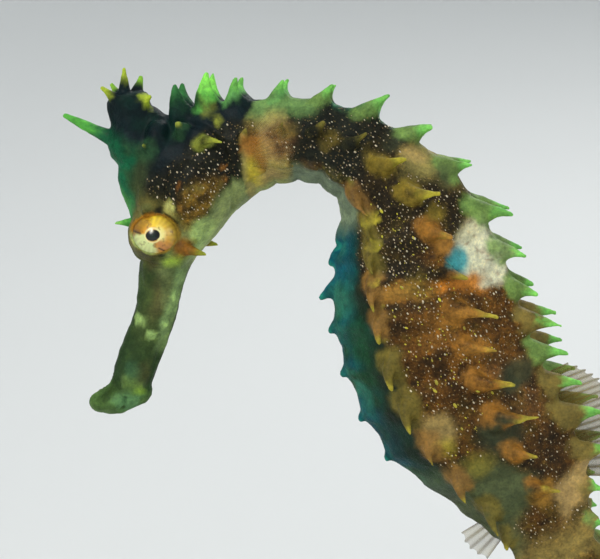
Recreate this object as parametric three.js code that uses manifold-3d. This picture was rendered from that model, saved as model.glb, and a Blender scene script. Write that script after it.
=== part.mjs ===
// Thorny, long-snouted seahorse, life size, head bowed and tail curled, on a small display stand.
// Millimetres, +Z up. The animal faces -X and its left side is towards -Y.
// The origin is the middle of the stand's flat underside.
import * as THREE from 'three';
import { mergeVertices } from 'three/addons/utils/BufferGeometryUtils.js';
import Module from 'manifold-3d';

const wasm = await Module();
wasm.setup();

// ---------- driving dimensions ----------
const GAP = 0.3; // left between pieces that touch
const MOUTH = { x: -25.15, z: 64.8 }; // where the body's middle line starts
// The body along its middle line, from the mouth to the tip of the tail. Each row: distance from
// the mouth, heading in degrees (0 is +X, 90 is up), reach to the back, reach to the belly, half width.
const BODY = [
  [0.0, 104, 2.9, 1.7, 0.9], // lips
  [0.8, 98, 3.9, 2.3, 1.45],
  [1.8, 86, 3.1, 2.4, 1.65],
  [3.2, 68, 2.1, 2.2, 1.75], // snout tube
  [7.0, 67, 2.05, 2.15, 1.7],
  [12.0, 75, 2.2, 2.2, 1.8],
  [15.2, 77, 2.7, 2.6, 2.4],
  [18.5, 72, 4.9, 3.5, 3.3], // eyes
  [21.7, 64, 7.9, 4.1, 4.0], // forehead
  [23.6, 56, 8.5, 4.3, 4.2], // crown and gill covers
  [25.9, 43.5, 6.0, 4.6, 4.3],
  [27.8, 33, 6.2, 4.55, 4.25], // nape
  [29.8, 22, 5.4, 4.5, 4.1], // shoulder
  [33.6, 6, 4.4, 4.3, 3.9],
  [37.6, -13.5, 4.3, 4.2, 3.9], // top of the neck's arch
  [42.0, -35, 4.7, 4.8, 4.3],
  [47.0, -56, 6.2, 7.0, 5.2],
  [52.0, -73, 7.6, 9.0, 6.0],
  [58.0, -76, 8.6, 10.4, 6.5], // deepest trunk
  [64.0, -69, 8.8, 10.5, 6.6],
  [70.5, -62, 8.9, 9.7, 6.3],
  [74.0, -59, 8.8, 8.0, 5.9],
  [78.0, -57, 8.1, 6.3, 5.2],
  [82.0, -56, 6.2, 5.0, 4.4], // vent
  [87.0, -60, 4.2, 3.7, 3.5], // tail
  [97.0, -74, 3.4, 3.1, 3.0],
  [109.0, -96, 2.9, 2.6, 2.6],
  [125.0, -152, 2.3, 2.1, 2.1],
  [140.0, -245, 1.8, 1.6, 1.6],
  [153.0, -360, 1.3, 1.2, 1.2],
  [163.0, -490, 0.9, 0.8, 0.8],
  [168.0, -580, 0.5, 0.5, 0.5],
];
const TAIL_TIP = BODY[BODY.length - 1][0];
const TRUNK_RINGS = 14;
const FIRST_RING = 30.5;
const TAIL_RING_PITCH = 3.2; // the first one; each next is a little shorter
const TAIL_PITCH_RATIO = 0.976;
const SPINED_TAIL_RINGS = 30;
const EYE = { x: -21.95, y: 2.75, z: 82.55 }; // centre of the eye on +Y; the other is mirrored
const EYE_RADIUS = 2.5;
const EYE_DEPTH = 2.0; // half of the eyeball's thickness, which is a flattened ball
const FIN_THICKNESS = 0.55;
const BASE = { length: 74, width: 44, height: 6, corner: 8 };
const BASE_EDGE = [ // how far in from the edge, and how high: a step, then a rounded lip
  [0.5, 0], [0, 0.5], [0, 3.7], [0.8, 4], [1, 5.2], [2, 6],
];
const ROD = { radius: 1.1, collar: 2.1, collarHeight: 1.2, sunk: 2.7, intoTail: 1.3, sides: 12 };
const ROD_X = [7.2, 15.6];

// ---------- colours ----------
const finish = (colour, roughness) =>
  new THREE.MeshStandardMaterial({ color: colour, roughness, metalness: 0 });
const SNOUT_FINISH = finish('#7c8a5c', 0.55);
const HEAD_FINISH = finish('#5a4a30', 0.65);
const NECK_FINISH = finish('#b08c66', 0.7);
const TRUNK_FINISH = finish('#5c4228', 0.7);
const TAIL_FINISH = finish('#7a6238', 0.7);
const CORONET_FINISH = finish('#a8b84a', 0.6);
const FIN_FINISH = finish('#b9a98a', 0.5);
const EYE_FINISH = finish('#d9a04a', 0.15);
const WOOD_FINISH = finish('#4a2f1f', 0.45);
const ROD_FINISH = new THREE.MeshStandardMaterial({ color: '#b08d4c', roughness: 0.3, metalness: 1 });

// ---------- the middle line ----------
const slopes = (column) => {
  const steps = BODY.slice(1).map((row, i) =>
    (row[column] - BODY[i][column]) / (row[0] - BODY[i][0]));
  const inner = steps.slice(1).map((step, i) => {
    const before = BODY[i + 1][0] - BODY[i][0];
    const after = BODY[i + 2][0] - BODY[i + 1][0];
    const flat = steps[i] * step <= 0;
    return flat ? 0 : (3 * (before + after)) /
      ((2 * after + before) / steps[i] + (after + 2 * before) / step);
  });
  return [steps[0], ...inner, steps[steps.length - 1]];
};
const SLOPES = BODY[0].map((_, column) => slopes(column));

// A column of BODY at any distance, on a smooth curve that never overshoots its rows.
function bodyValue(column, distance) {
  const past = BODY.findIndex((row) => row[0] > distance);
  const i = past < 0 ? BODY.length - 2 : Math.max(0, past - 1);
  const span = BODY[i + 1][0] - BODY[i][0];
  const t = THREE.MathUtils.clamp((distance - BODY[i][0]) / span, 0, 1);
  const start = (2 * t ** 3 - 3 * t ** 2 + 1) * BODY[i][column];
  const end = (3 * t ** 2 - 2 * t ** 3) * BODY[i + 1][column];
  const leaving = (t ** 3 - 2 * t ** 2 + t) * span * SLOPES[column][i];
  const arriving = (t ** 3 - t ** 2) * span * SLOPES[column][i + 1];
  return start + end + leaving + arriving;
}

const headingAt = (distance) => THREE.MathUtils.degToRad(bodyValue(1, distance));
const LINE_STEP = 0.1;
const LINE = [{ x: MOUTH.x, z: MOUTH.z }];
for (let i = 0; i * LINE_STEP < TAIL_TIP; i += 1) {
  const heading = headingAt((i + 0.5) * LINE_STEP);
  const last = LINE[i];
  LINE.push({ x: last.x + LINE_STEP * Math.cos(heading), z: last.z + LINE_STEP * Math.sin(heading) });
}

// Where a distance lies, with the directions along the body, to the back, and out to +Y.
function placeAt(distance) {
  const i = Math.min(Math.floor(distance / LINE_STEP), LINE.length - 2);
  const t = distance / LINE_STEP - i;
  const heading = headingAt(distance);
  return {
    point: new THREE.Vector3(
      LINE[i].x + t * (LINE[i + 1].x - LINE[i].x), 0, LINE[i].z + t * (LINE[i + 1].z - LINE[i].z)),
    along: new THREE.Vector3(Math.cos(heading), 0, Math.sin(heading)),
    back: new THREE.Vector3(-Math.sin(heading), 0, Math.cos(heading)),
    out: new THREE.Vector3(0, 1, 0),
  };
}

function pointAt(distance, out, up) {
  const place = placeAt(distance);
  return place.point.addScaledVector(place.out, out).addScaledVector(place.back, up);
}

// ---------- bony rings ----------
const RINGS = Array.from({ length: TRUNK_RINGS }, (_, k) => FIRST_RING + 3.1 * k + 0.045 * k * k);
const LAST_TRUNK_RING = RINGS[TRUNK_RINGS - 1];
for (let at = LAST_TRUNK_RING, pitch = TAIL_RING_PITCH; at + pitch < TAIL_TIP - 0.6;) {
  at += pitch;
  pitch *= TAIL_PITCH_RATIO;
  RINGS.push(at);
}
const ringPitch = (k) => (k + 1 < RINGS.length ? RINGS[k + 1] - RINGS[k] : RINGS[k] - RINGS[k - 1]);

// Half of a cross-section from the back to the belly, as shares of the half width and the reach.
// Places 1, 3 and 5 are the upper, side and lower ridges, and 7 is the keel.
const FORMS = {
  snout: Array.from({ length: 8 }, (_, i) => [Math.sin(i * Math.PI / 7), Math.cos(i * Math.PI / 7)]),
  head: [[0, 1], [0.42, 0.93], [0.76, 0.64], [0.97, 0.2], [1, -0.2], [0.84, -0.62], [0.46, -0.9], [0, -1]],
  trunk: [[0, 0.9], [0.45, 0.96], [0.76, 0.6], [1, 0.22], [0.93, -0.17], [0.8, -0.54], [0.42, -0.8],
    [0, -1]],
  tail: [[0, 0.86], [0.8, 0.95], [0.86, 0.5], [0.9, 0.02], [0.86, -0.45], [0.8, -0.95], [0.4, -0.9],
    [0, -0.88]],
};
const { smoothstep } = THREE.MathUtils;
function formAt(distance, i) {
  const head = smoothstep(distance, 12, 17);
  const trunk = smoothstep(distance, 26.5, 31);
  const tail = smoothstep(distance, 79, 86);
  return [0, 1].map((axis) => {
    let share = THREE.MathUtils.lerp(FORMS.snout[i][axis], FORMS.head[i][axis], head);
    share = THREE.MathUtils.lerp(share, FORMS.trunk[i][axis], trunk);
    return THREE.MathUtils.lerp(share, FORMS.tail[i][axis], tail);
  });
}

// The ridges stand out at each ring, the body draws in between rings, and on the tail the
// ridges rise to a low thorn at each ring.
const RIDGES = [1, 3, 5, 7];
const RING_DIP = 0.06;
const SIDE_THORN = [0, 0.9, 0, 0.15, 0, 0.6, 0, 0];
function relief(distance, i) {
  if (distance < FIRST_RING - 1.5) return { share: 1, thorn: 0 };
  const k = RINGS.reduce((best, ring, j) =>
    (Math.abs(ring - distance) < Math.abs(RINGS[best] - distance) ? j : best), 0);
  const away = Math.abs(RINGS[k] - distance) / ringPitch(k);
  const swell = Math.max(0, 1 - 2 * away);
  const dip = RIDGES.includes(i) ? RING_DIP : RING_DIP * 0.5;
  const onTail = k >= TRUNK_RINGS && k < TRUNK_RINGS + SPINED_TAIL_RINGS;
  const shrink = 1 - (k - TRUNK_RINGS) / SPINED_TAIL_RINGS;
  const thorn = onTail ? SIDE_THORN[i] * shrink * Math.max(0, 1 - away / 0.3) : 0;
  return { share: 1 - dip * (1 - swell), thorn };
}

// One closed cross-section; grow moves it out all round. The slim tail needs fewer corners.
const ROUND = [0, 1, 2, 3, 4, 5, 6, 7];
const SQUARE = [0, 1, 3, 5, 7];
function section(distance, grow, corners) {
  const back = bodyValue(2, distance);
  const belly = bodyValue(3, distance);
  const half = bodyValue(4, distance);
  const corner = (i, side) => {
    const [wide, high] = formAt(distance, i);
    const { share, thorn } = relief(distance, i);
    const flat = new THREE.Vector2(wide * half * share, high * (high > 0 ? back : belly) * share);
    flat.setLength(flat.length() + thorn + grow);
    return pointAt(distance, side * flat.x, flat.y);
  };
  const right = corners.map((i) => corner(i, 1));
  const left = corners.slice(1, -1).reverse().map((i) => corner(i, -1));
  return [...right, ...left];
}

// ---------- solids ----------
function solidOf(points, faces) {
  const volume = faces.reduce((sum, [a, b, c]) =>
    sum + points[a].dot(new THREE.Vector3().crossVectors(points[b], points[c])), 0);
  const outward = volume > 0 ? faces : faces.map(([a, b, c]) => [a, c, b]);
  const mesh = new wasm.Mesh({
    numProp: 3,
    vertProperties: new Float32Array(points.flatMap((point) => point.toArray())),
    triVerts: new Uint32Array(outward.flat()),
  });
  return new wasm.Manifold(mesh);
}

// A closed solid through like cross-sections, with a flat cap at each end.
function loft(sections) {
  const count = sections[0].length;
  const points = sections.flat();
  const faces = [];
  for (let row = 0; row + 1 < sections.length; row += 1) {
    for (let i = 0; i < count; i += 1) {
      const a = row * count + i;
      const b = row * count + ((i + 1) % count);
      faces.push([a, b, a + count], [b, b + count, a + count]);
    }
  }
  [sections[0], sections[sections.length - 1]].forEach((ends, last) => {
    const middle = ends.reduce((sum, point) => sum.add(point), new THREE.Vector3());
    const centre = points.push(middle.divideScalar(count)) - 1;
    const first = last ? (sections.length - 1) * count : 0;
    for (let i = 0; i < count; i += 1) {
      const pair = [first + i, first + ((i + 1) % count)];
      faces.push(last ? [...pair, centre] : [pair[1], pair[0], centre]);
    }
  });
  return solidOf(points, faces);
}

function fromGeometry(geometry) {
  geometry.deleteAttribute('normal');
  geometry.deleteAttribute('uv');
  const merged = mergeVertices(geometry, 1e-4);
  const place = merged.attributes.position;
  const points = Array.from({ length: place.count }, (_, i) =>
    new THREE.Vector3().fromBufferAttribute(place, i));
  const corners = Array.from(merged.index.array);
  const faces = Array.from({ length: corners.length / 3 }, (_, i) => corners.slice(3 * i, 3 * i + 3));
  return solidOf(points, faces);
}

// A shape turned about +Y, from pairs of radius and height.
const turned = (profile, sides) =>
  new THREE.LatheGeometry(profile.map(([radius, height]) => new THREE.Vector2(radius, height)), sides);

// The turn that takes +Y to a direction.
const turnFromY = (direction) =>
  new THREE.Quaternion().setFromUnitVectors(new THREE.Vector3(0, 1, 0), direction.clone().normalize());

const joined = (solids) => solids.reduce((whole, solid) => whole.add(solid));

// The distances at which a length of body needs a cross-section.
function stops(from, to) {
  const inner = [];
  for (let at = from + 1.6; at < Math.min(to, FIRST_RING - 1.5); at += 1.6) inner.push(at);
  RINGS.forEach((ring, k) => {
    const pitch = ringPitch(k);
    if (k < TRUNK_RINGS) inner.push(ring, ring + pitch / 2);
    else if (k < TRUNK_RINGS + SPINED_TAIL_RINGS) inner.push(ring - 0.3 * pitch, ring, ring + 0.3 * pitch);
    else inner.push(ring);
  });
  const kept = inner.filter((at) => at > from + 0.25 && at < to - 0.25).sort((a, b) => a - b);
  return [from, ...kept, to];
}

const bodyLength = (from, to, grow = 0, corners = ROUND) =>
  loft(stops(from, to).map((at) => section(at, grow, corners)));

// A thorn: a four-sided cone with a flared foot, sunk a little into what it grows from.
const THORN_SIDES = 4;
const THORN_SUNK = 0.9;
function thorn(root, direction, length, radius, grow = 0) {
  const profile = [[0, -THORN_SUNK], [radius * 1.25 + grow, -THORN_SUNK],
    [radius * 0.5 + grow, length * 0.36], [0, length + grow]];
  const cone = turned(profile, THORN_SIDES);
  cone.applyQuaternion(turnFromY(direction));
  cone.translate(root.x, root.y, root.z);
  return fromGeometry(cone);
}

// A thorn on the body, with its direction given along the body, to the back, and outwards.
function bodyThorn({ at, out, up, lean, length, radius }, side, grow = 0) {
  const place = placeAt(at);
  const root = pointAt(at, side * out, up);
  const direction = new THREE.Vector3()
    .addScaledVector(place.along, lean[0])
    .addScaledVector(place.back, lean[1])
    .addScaledVector(place.out, side * lean[2])
    .normalize();
  return thorn(root, direction, length, radius, grow);
}

// ---------- trunk thorns, one on each ridge of each ring ----------
const TRUNK_THORNS = [
  { ridge: 1, lean: [0.3, 0.9, 0.3], length: 3.1, radius: 1.2 },
  { ridge: 3, lean: [0.3, 0.76, 0.58], length: 3.4, radius: 1.35 },
  { ridge: 5, lean: [0.75, -0.2, 0.6], length: 2.6, radius: 1.2 },
];
const KEEL_THORN = { length: 0.8, radius: 0.8 };
const KEELED_RINGS = [5, 11];
const LONG_KEEL = { ring: 7, times: 2 };
const LONG_UPPER = { after: 8, more: 0.2 }; // the upper thorns of the lower trunk are longer
const thornVaries = (k, ridge) => 0.92 + 0.16 * Math.sin(2.1 * k + 1.3 * ridge)
  + (ridge === 1 && k > LONG_UPPER.after ? LONG_UPPER.more : 0);
const neckShare = (k) => Math.min(1, 0.72 + 0.07 * k);

function ringThorns(from, to, grow = 0) {
  const thorns = [];
  RINGS.slice(0, TRUNK_RINGS).forEach((ring, k) => {
    if (ring < from || ring > to) return;
    const back = bodyValue(2, ring);
    const belly = bodyValue(3, ring);
    const half = bodyValue(4, ring);
    TRUNK_THORNS.forEach(({ ridge, lean, length, radius }) => {
      const [wide, high] = formAt(ring, ridge);
      const size = thornVaries(k, ridge) * neckShare(k);
      const spine = { at: ring, out: wide * half * 0.95, up: high * (high > 0 ? back : belly) * 0.95,
        lean, length: length * size, radius: radius * Math.sqrt(size) };
      thorns.push(bodyThorn(spine, 1, grow), bodyThorn(spine, -1, grow));
    });
    if (k >= KEELED_RINGS[0] && k <= KEELED_RINGS[1]) {
      const keel = { at: ring, out: 0, up: -belly * 0.97, lean: [0, -1, 0], ...KEEL_THORN };
      if (k === LONG_KEEL.ring) keel.length *= LONG_KEEL.times;
      thorns.push(bodyThorn(keel, 1, grow));
    }
  });
  return thorns;
}

// A length of trunk between two cuts. Its thorns are cleared from the lengths before and after it.
const NEIGHBOUR_REACH = 3;
function trunkLength(from, to) {
  const first = from + GAP / 2;
  const last = to - GAP / 2;
  return joined([bodyLength(first, last), ...ringThorns(from, to)])
    .subtract(bodyLength(from - NEIGHBOUR_REACH, first, GAP))
    .subtract(bodyLength(last, to + NEIGHBOUR_REACH, GAP));
}

// ---------- head ----------
const HEAD_SPAN = [13, 29.2];
const MIDLINE_THORNS = [
  { at: 18.3, out: 0, up: 3.6, lean: [-0.28, 0.96, 0], length: 3.1, radius: 0.8 }, // nose
];
const PAIRED_HEAD_THORNS = [
  { at: 20.6, out: 3.1, up: 2.7, lean: [0.3, 0.35, 0.85], length: 2.0, radius: 0.85 }, // brow
  { at: 17.7, out: 2.8, up: -0.7, lean: [0.08, -0.9, 0.38], length: 3.4, radius: 1.15 }, // cheek
  { at: 24.2, out: 2.5, up: 5.7, lean: [0, 0.5, 0.85], length: 1.7, radius: 0.8 }, // crown side
  { at: 26.6, out: 3.1, up: 5.0, lean: [0.1, 0.5, 0.85], length: 1.1, radius: 0.7 },
  { at: 27.4, out: 3.9, up: 2.6, lean: [0.6, -0.45, 0.65], length: 2.9, radius: 0.8 }, // gill cover
  { at: 26.9, out: 1.4, up: 5.7, lean: [0.46, 0.88, 0.22], length: 3.6, radius: 1.2 }, // nape
  { at: 28.6, out: 1.4, up: 5.2, lean: [0.5, 0.88, 0.22], length: 3.6, radius: 1.2 },
];
const CROWN = { x: -21.8, z: 92.5, along: 3.2, high: 1.8, wide: 1.9 }; // between coronet and nape
const GILL_COVER = { at: 23.6, out: 2.1, up: 0.1, along: 4.3, high: 3.4, wide: 2.8 };
const EYE_RIM = { from: 0.8, profile: [[0, 0], [2.9, 0], [3.15, 1.2], [3.0, 2.1], [2.6, 2.8], [0, 2.8]] };

function ellipsoid(place, centre, radii) {
  const ball = new THREE.SphereGeometry(1, 10, 7);
  const axes = new THREE.Matrix4().makeBasis(
    place.along.clone().multiplyScalar(radii.along),
    place.out.clone().multiplyScalar(-radii.wide),
    place.back.clone().multiplyScalar(radii.high));
  ball.applyMatrix4(axes);
  ball.translate(centre.x, centre.y, centre.z);
  return fromGeometry(ball);
}

function gillCover(side) {
  const centre = pointAt(GILL_COVER.at, side * GILL_COVER.out, GILL_COVER.up);
  return ellipsoid(placeAt(GILL_COVER.at), centre, GILL_COVER);
}

function eyeRim(side) {
  const rim = turned(EYE_RIM.profile, 12);
  rim.rotateX(side < 0 ? Math.PI : 0);
  rim.translate(EYE.x, side * EYE_RIM.from, EYE.z);
  return fromGeometry(rim);
}

function eyeball(side, grow = 0) {
  const ball = new THREE.SphereGeometry(1, 14, 6);
  ball.rotateX(Math.PI / 2);
  ball.scale(EYE_RADIUS + grow, EYE_DEPTH + grow, EYE_RADIUS + grow);
  ball.translate(EYE.x, side * EYE.y, EYE.z);
  return fromGeometry(ball);
}

function headSolid(grow = 0) {
  const spines = [
    ...MIDLINE_THORNS.map((spine) => bodyThorn(spine, 1, grow)),
    ...PAIRED_HEAD_THORNS.flatMap((spine) => [1, -1].map((side) => bodyThorn(spine, side, grow))),
  ];
  const core = bodyLength(HEAD_SPAN[0] + GAP / 2, HEAD_SPAN[1] - GAP / 2, grow);
  const level = { along: new THREE.Vector3(1, 0, 0), back: new THREE.Vector3(0, 0, 1),
    out: new THREE.Vector3(0, 1, 0) };
  const crown = ellipsoid(level, new THREE.Vector3(CROWN.x, 0, CROWN.z), CROWN);
  return joined([core, crown, gillCover(1), gillCover(-1), eyeRim(1), eyeRim(-1), ...spines]);
}

function head() {
  return headSolid().subtract(eyeball(1, GAP)).subtract(eyeball(-1, GAP));
}

// ---------- coronet: a short stump on the crown, with its thorns spread ----------
const CORONET_FOOT = new THREE.Vector3(-24.1, 0, 91.0);
const CORONET_TOP = new THREE.Vector3(-25.1, 0, 96.2);
const CORONET = { foot: 3.0, waist: 2.1, top: 2.2, sides: 9 };
const CORONET_THORNS = [ // from root to tip
  [[-26.4, 0, 91.7], [-31.8, 0, 94.3]],
  [[-25.9, -0.9, 95.6], [-27.5, -1.9, 97.1]],
  [[-25.9, 0.9, 95.6], [-27.3, 2.0, 97.4]],
  [[-25.4, -0.5, 96.0], [-25.3, -0.9, 99.0]],
  [[-24.5, 0.9, 96.0], [-24.1, 1.8, 98.2]],
  [[-23.8, -0.7, 95.4], [-22.5, -1.7, 96.2]],
];

function coronet() {
  const axis = CORONET_TOP.clone().sub(CORONET_FOOT);
  const profile = [[0, 0], [CORONET.foot, 0], [CORONET.waist, axis.length() * 0.6],
    [CORONET.top, axis.length()], [0, axis.length() + 0.4]];
  const stump = turned(profile, CORONET.sides);
  stump.applyQuaternion(turnFromY(axis));
  stump.translate(CORONET_FOOT.x, 0, CORONET_FOOT.z);
  const thorns = CORONET_THORNS.map(([from, to]) => {
    const root = new THREE.Vector3(...from);
    const reach = new THREE.Vector3(...to).sub(root);
    return thorn(root, reach.clone().normalize(), reach.length(), 0.85);
  });
  return joined([fromGeometry(stump), ...thorns]).subtract(headSolid(GAP));
}

// ---------- fins: thin plates, thinner at the edge, with a ray at each column ----------
function finPlate(columns) {
  const sections = columns.map(({ root, tip, side }) => [
    root.clone().addScaledVector(side, FIN_THICKNESS * 0.6),
    tip.clone().addScaledVector(side, FIN_THICKNESS * 0.5),
    tip.clone().addScaledVector(side, -FIN_THICKNESS * 0.5),
    root.clone().addScaledVector(side, -FIN_THICKNESS * 0.6),
  ]);
  return loft(sections);
}

const DORSAL_FIN = { from: 69.5, to: 80.5, height: 6.2, rays: 10, sweep: 2.6 };
function dorsalFin() {
  const columns = Array.from({ length: DORSAL_FIN.rays + 1 }, (_, i) => {
    const share = i / DORSAL_FIN.rays;
    const at = THREE.MathUtils.lerp(DORSAL_FIN.from, DORSAL_FIN.to, share);
    const surface = 0.8 * bodyValue(2, at);
    const height = DORSAL_FIN.height * Math.sqrt(Math.sin(Math.PI * (0.1 + 0.8 * share)));
    const tip = pointAt(at, 0, surface + height);
    tip.addScaledVector(placeAt(at).along, DORSAL_FIN.sweep * share);
    return { root: pointAt(at, 0, surface - 1), tip, side: new THREE.Vector3(0, 1, 0) };
  });
  const body = bodyLength(66, 86, GAP);
  return finPlate(columns).subtract(body);
}

const ANAL_FIN = { from: 79.8, to: 82.2, height: 2.3, rays: 4, sweep: 1.2 };
function analFin() {
  const columns = Array.from({ length: ANAL_FIN.rays + 1 }, (_, i) => {
    const share = i / ANAL_FIN.rays;
    const at = THREE.MathUtils.lerp(ANAL_FIN.from, ANAL_FIN.to, share);
    const belly = bodyValue(3, at);
    const tip = pointAt(at, 0, -belly - ANAL_FIN.height * (0.75 + 0.25 * Math.sin(Math.PI * share)));
    tip.addScaledVector(placeAt(at).along, ANAL_FIN.sweep * share);
    return { root: pointAt(at, 0, -0.6 * belly), tip, side: new THREE.Vector3(0, 1, 0) };
  });
  return finPlate(columns).subtract(bodyLength(76, 88, GAP));
}

const PECTORAL_FIN = { at: 30.2, middle: -0.5, root: 2.2, length: 4.6, rays: 6, spread: 0.5, flare: 0.42 };
function pectoralFin(side) {
  const { at, middle, root: height, length, rays, spread, flare } = PECTORAL_FIN;
  const place = placeAt(at);
  const half = bodyValue(4, at);
  const columns = Array.from({ length: rays + 1 }, (_, i) => {
    const share = i / rays - 0.5;
    const angle = 2 * share * spread;
    const root = pointAt(at, side * (half - 1), middle + share * height);
    const ray = new THREE.Vector3()
      .addScaledVector(place.along, Math.cos(angle) * Math.cos(flare))
      .addScaledVector(place.back, Math.sin(angle))
      .addScaledVector(place.out, side * Math.sin(flare));
    const reach = length * (1 - 0.6 * share * share) + 1;
    const across = new THREE.Vector3().crossVectors(ray, place.back).normalize();
    return { root, tip: root.clone().addScaledVector(ray, reach), side: across };
  });
  const neck = joined([bodyLength(29, 40, GAP), ...ringThorns(29, 40, GAP)]);
  return finPlate(columns).subtract(neck).subtract(headSolid(GAP));
}

// ---------- stand ----------
const rodSolid = (radius, low, high) => {
  const bar = new THREE.CylinderGeometry(radius, radius, high - low, ROD.sides);
  bar.rotateX(Math.PI / 2);
  bar.translate(0, 0, (low + high) / 2);
  return bar;
};

// The rods reach the underside of the curled tail, where it runs lowest.
function tailUnderside(x) {
  const low = LINE.reduce((best, point) =>
    (Math.abs(point.x - x) < 0.12 && point.z < best.z ? point : best), { z: Infinity });
  const at = LINE.indexOf(low) * LINE_STEP;
  return low.z - 0.9 * bodyValue(2, at);
}

const rodTop = (x) => tailUnderside(x) + ROD.intoTail;
const rodFoot = BASE.height - ROD.sunk;

function rodHole(x, low, high) {
  const hole = rodSolid(ROD.radius + GAP, low, high);
  hole.translate(x, 0, 0);
  return fromGeometry(hole);
}

function standRod(x) {
  const collarLow = BASE.height + GAP;
  const profile = [[0, rodFoot], [ROD.radius, rodFoot], [ROD.radius, collarLow], [ROD.collar, collarLow],
    [ROD.collar, collarLow + ROD.collarHeight * 0.6], [ROD.radius, collarLow + ROD.collarHeight],
    [ROD.radius, rodTop(x)], [0, rodTop(x)]];
  const rod = turned(profile, ROD.sides);
  rod.rotateX(Math.PI / 2);
  rod.translate(x, 0, 0);
  return fromGeometry(rod);
}

// The base's rounded outline, drawn in from the edge, at a height.
const CORNER_STEPS = 4;
function baseOutline([inset, height]) {
  const x = BASE.length / 2 - BASE.corner;
  const y = BASE.width / 2 - BASE.corner;
  const radius = BASE.corner - inset;
  return [[x, -y, -90], [x, y, 0], [-x, y, 90], [-x, -y, 180]].flatMap(([cx, cy, start]) =>
    Array.from({ length: CORNER_STEPS + 1 }, (_, i) => {
      const turn = THREE.MathUtils.degToRad(start + (90 * i) / CORNER_STEPS);
      return new THREE.Vector3(cx + radius * Math.cos(turn), cy + radius * Math.sin(turn), height);
    }));
}

function standBase() {
  const slab = loft(BASE_EDGE.map(baseOutline));
  const holes = ROD_X.map((at) => rodHole(at, rodFoot - GAP, BASE.height + 1));
  return holes.reduce((base, hole) => base.subtract(hole), slab);
}

// ---------- assembly ----------
const group = new THREE.Group();

function addNode(name, solid, material) {
  const { vertProperties, triVerts } = solid.getMesh();
  const geometry = new THREE.BufferGeometry();
  geometry.setAttribute('position', new THREE.BufferAttribute(new Float32Array(vertProperties), 3));
  geometry.setIndex(new THREE.BufferAttribute(new Uint32Array(triVerts), 1));
  geometry.computeVertexNormals();
  const mesh = new THREE.Mesh(geometry, material);
  mesh.name = name;
  group.add(mesh);
}

addNode('snout', bodyLength(0, HEAD_SPAN[0] - GAP / 2), SNOUT_FINISH);
addNode('head', head(), HEAD_FINISH);
addNode('coronet', coronet(), CORONET_FINISH);
addNode('eye_left', eyeball(-1), EYE_FINISH);
addNode('eye_right', eyeball(1), EYE_FINISH);

// The body is parted midway between two rings, named by how many rings lie before the cut.
const cutAfter = (rings) => (RINGS[rings - 1] + RINGS[rings]) / 2;
const TRUNK_LENGTHS = [['neck', 0, 4], ['trunk_upper', 4, 7], ['trunk_middle', 7, 11],
  ['trunk_lower', 11, 14]];
TRUNK_LENGTHS.forEach(([name, first, last]) => {
  const from = first ? cutAfter(first) : HEAD_SPAN[1];
  const colour = first ? TRUNK_FINISH : NECK_FINISH;
  const length = trunkLength(from, cutAfter(last));
  addNode(name, first ? length : length.subtract(headSolid(GAP)), colour);
});

const TAIL_LENGTHS = [['tail_base', 14], ['tail_upper', 19], ['tail_lower', 24], ['tail_bend', 29],
  ['tail_curl_outer', 33], ['tail_curl_top', 37], ['tail_curl_inner', 42], ['tail_tip', 48]];
TAIL_LENGTHS.forEach(([name, first], i) => {
  const next = TAIL_LENGTHS[i + 1];
  const to = next ? cutAfter(next[1]) - GAP / 2 : TAIL_TIP;
  const length = bodyLength(cutAfter(first) + GAP / 2, to, 0, SQUARE);
  const holes = ROD_X.map((x) => rodHole(x, BASE.height, rodTop(x) + GAP));
  addNode(name, holes.reduce((solid, hole) => solid.subtract(hole), length), TAIL_FINISH);
});

addNode('dorsal_fin', dorsalFin(), FIN_FINISH);
addNode('anal_fin', analFin(), FIN_FINISH);
addNode('pectoral_fin_left', pectoralFin(-1), FIN_FINISH);
addNode('pectoral_fin_right', pectoralFin(1), FIN_FINISH);

addNode('stand_base', standBase(), WOOD_FINISH);
ROD_X.forEach((x, i) => addNode(`stand_rod_${i ? 'back' : 'front'}`, standRod(x), ROD_FINISH));

export default group;
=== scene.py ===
# %% [markdown]
# # A thorny seahorse, life size, on a small display stand
#
# The real animal is a bony fish in armour: a neck, trunk and tail of bony rings under a thin
# skin, with a thorn where each ring crosses each ridge, a long tube of a snout and a crown-like
# coronet. This script dresses a plain solid model of it. The solids give the size and the pose,
# and they stay as they are; every piece made here takes their place in the same frame.

import math

import bmesh
import bpy
import numpy as np
from mathutils import Matrix, Vector
from mathutils.bvhtree import BVHTree


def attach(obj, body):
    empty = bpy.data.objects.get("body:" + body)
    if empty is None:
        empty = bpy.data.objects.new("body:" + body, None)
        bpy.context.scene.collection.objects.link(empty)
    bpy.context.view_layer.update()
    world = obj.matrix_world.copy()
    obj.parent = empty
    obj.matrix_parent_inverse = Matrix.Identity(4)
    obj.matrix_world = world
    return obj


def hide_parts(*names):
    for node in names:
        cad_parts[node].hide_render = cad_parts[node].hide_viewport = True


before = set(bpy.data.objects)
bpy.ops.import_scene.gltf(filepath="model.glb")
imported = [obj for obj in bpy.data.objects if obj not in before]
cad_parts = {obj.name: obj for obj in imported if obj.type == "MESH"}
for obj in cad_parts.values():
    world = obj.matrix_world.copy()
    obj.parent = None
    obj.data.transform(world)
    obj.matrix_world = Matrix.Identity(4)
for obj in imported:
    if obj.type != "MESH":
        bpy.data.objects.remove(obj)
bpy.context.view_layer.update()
MM = 0.001  # shapes are worked out in millimetres and made in metres


def unit(vectors):
    vectors = np.asarray(vectors, float)
    return vectors / np.linalg.norm(vectors, axis=-1, keepdims=True)


def smoothstep(value, low, high):
    share = np.clip((np.asarray(value, float) - low) / (high - low), 0, 1)
    return share * share * (3 - 2 * share)


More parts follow.
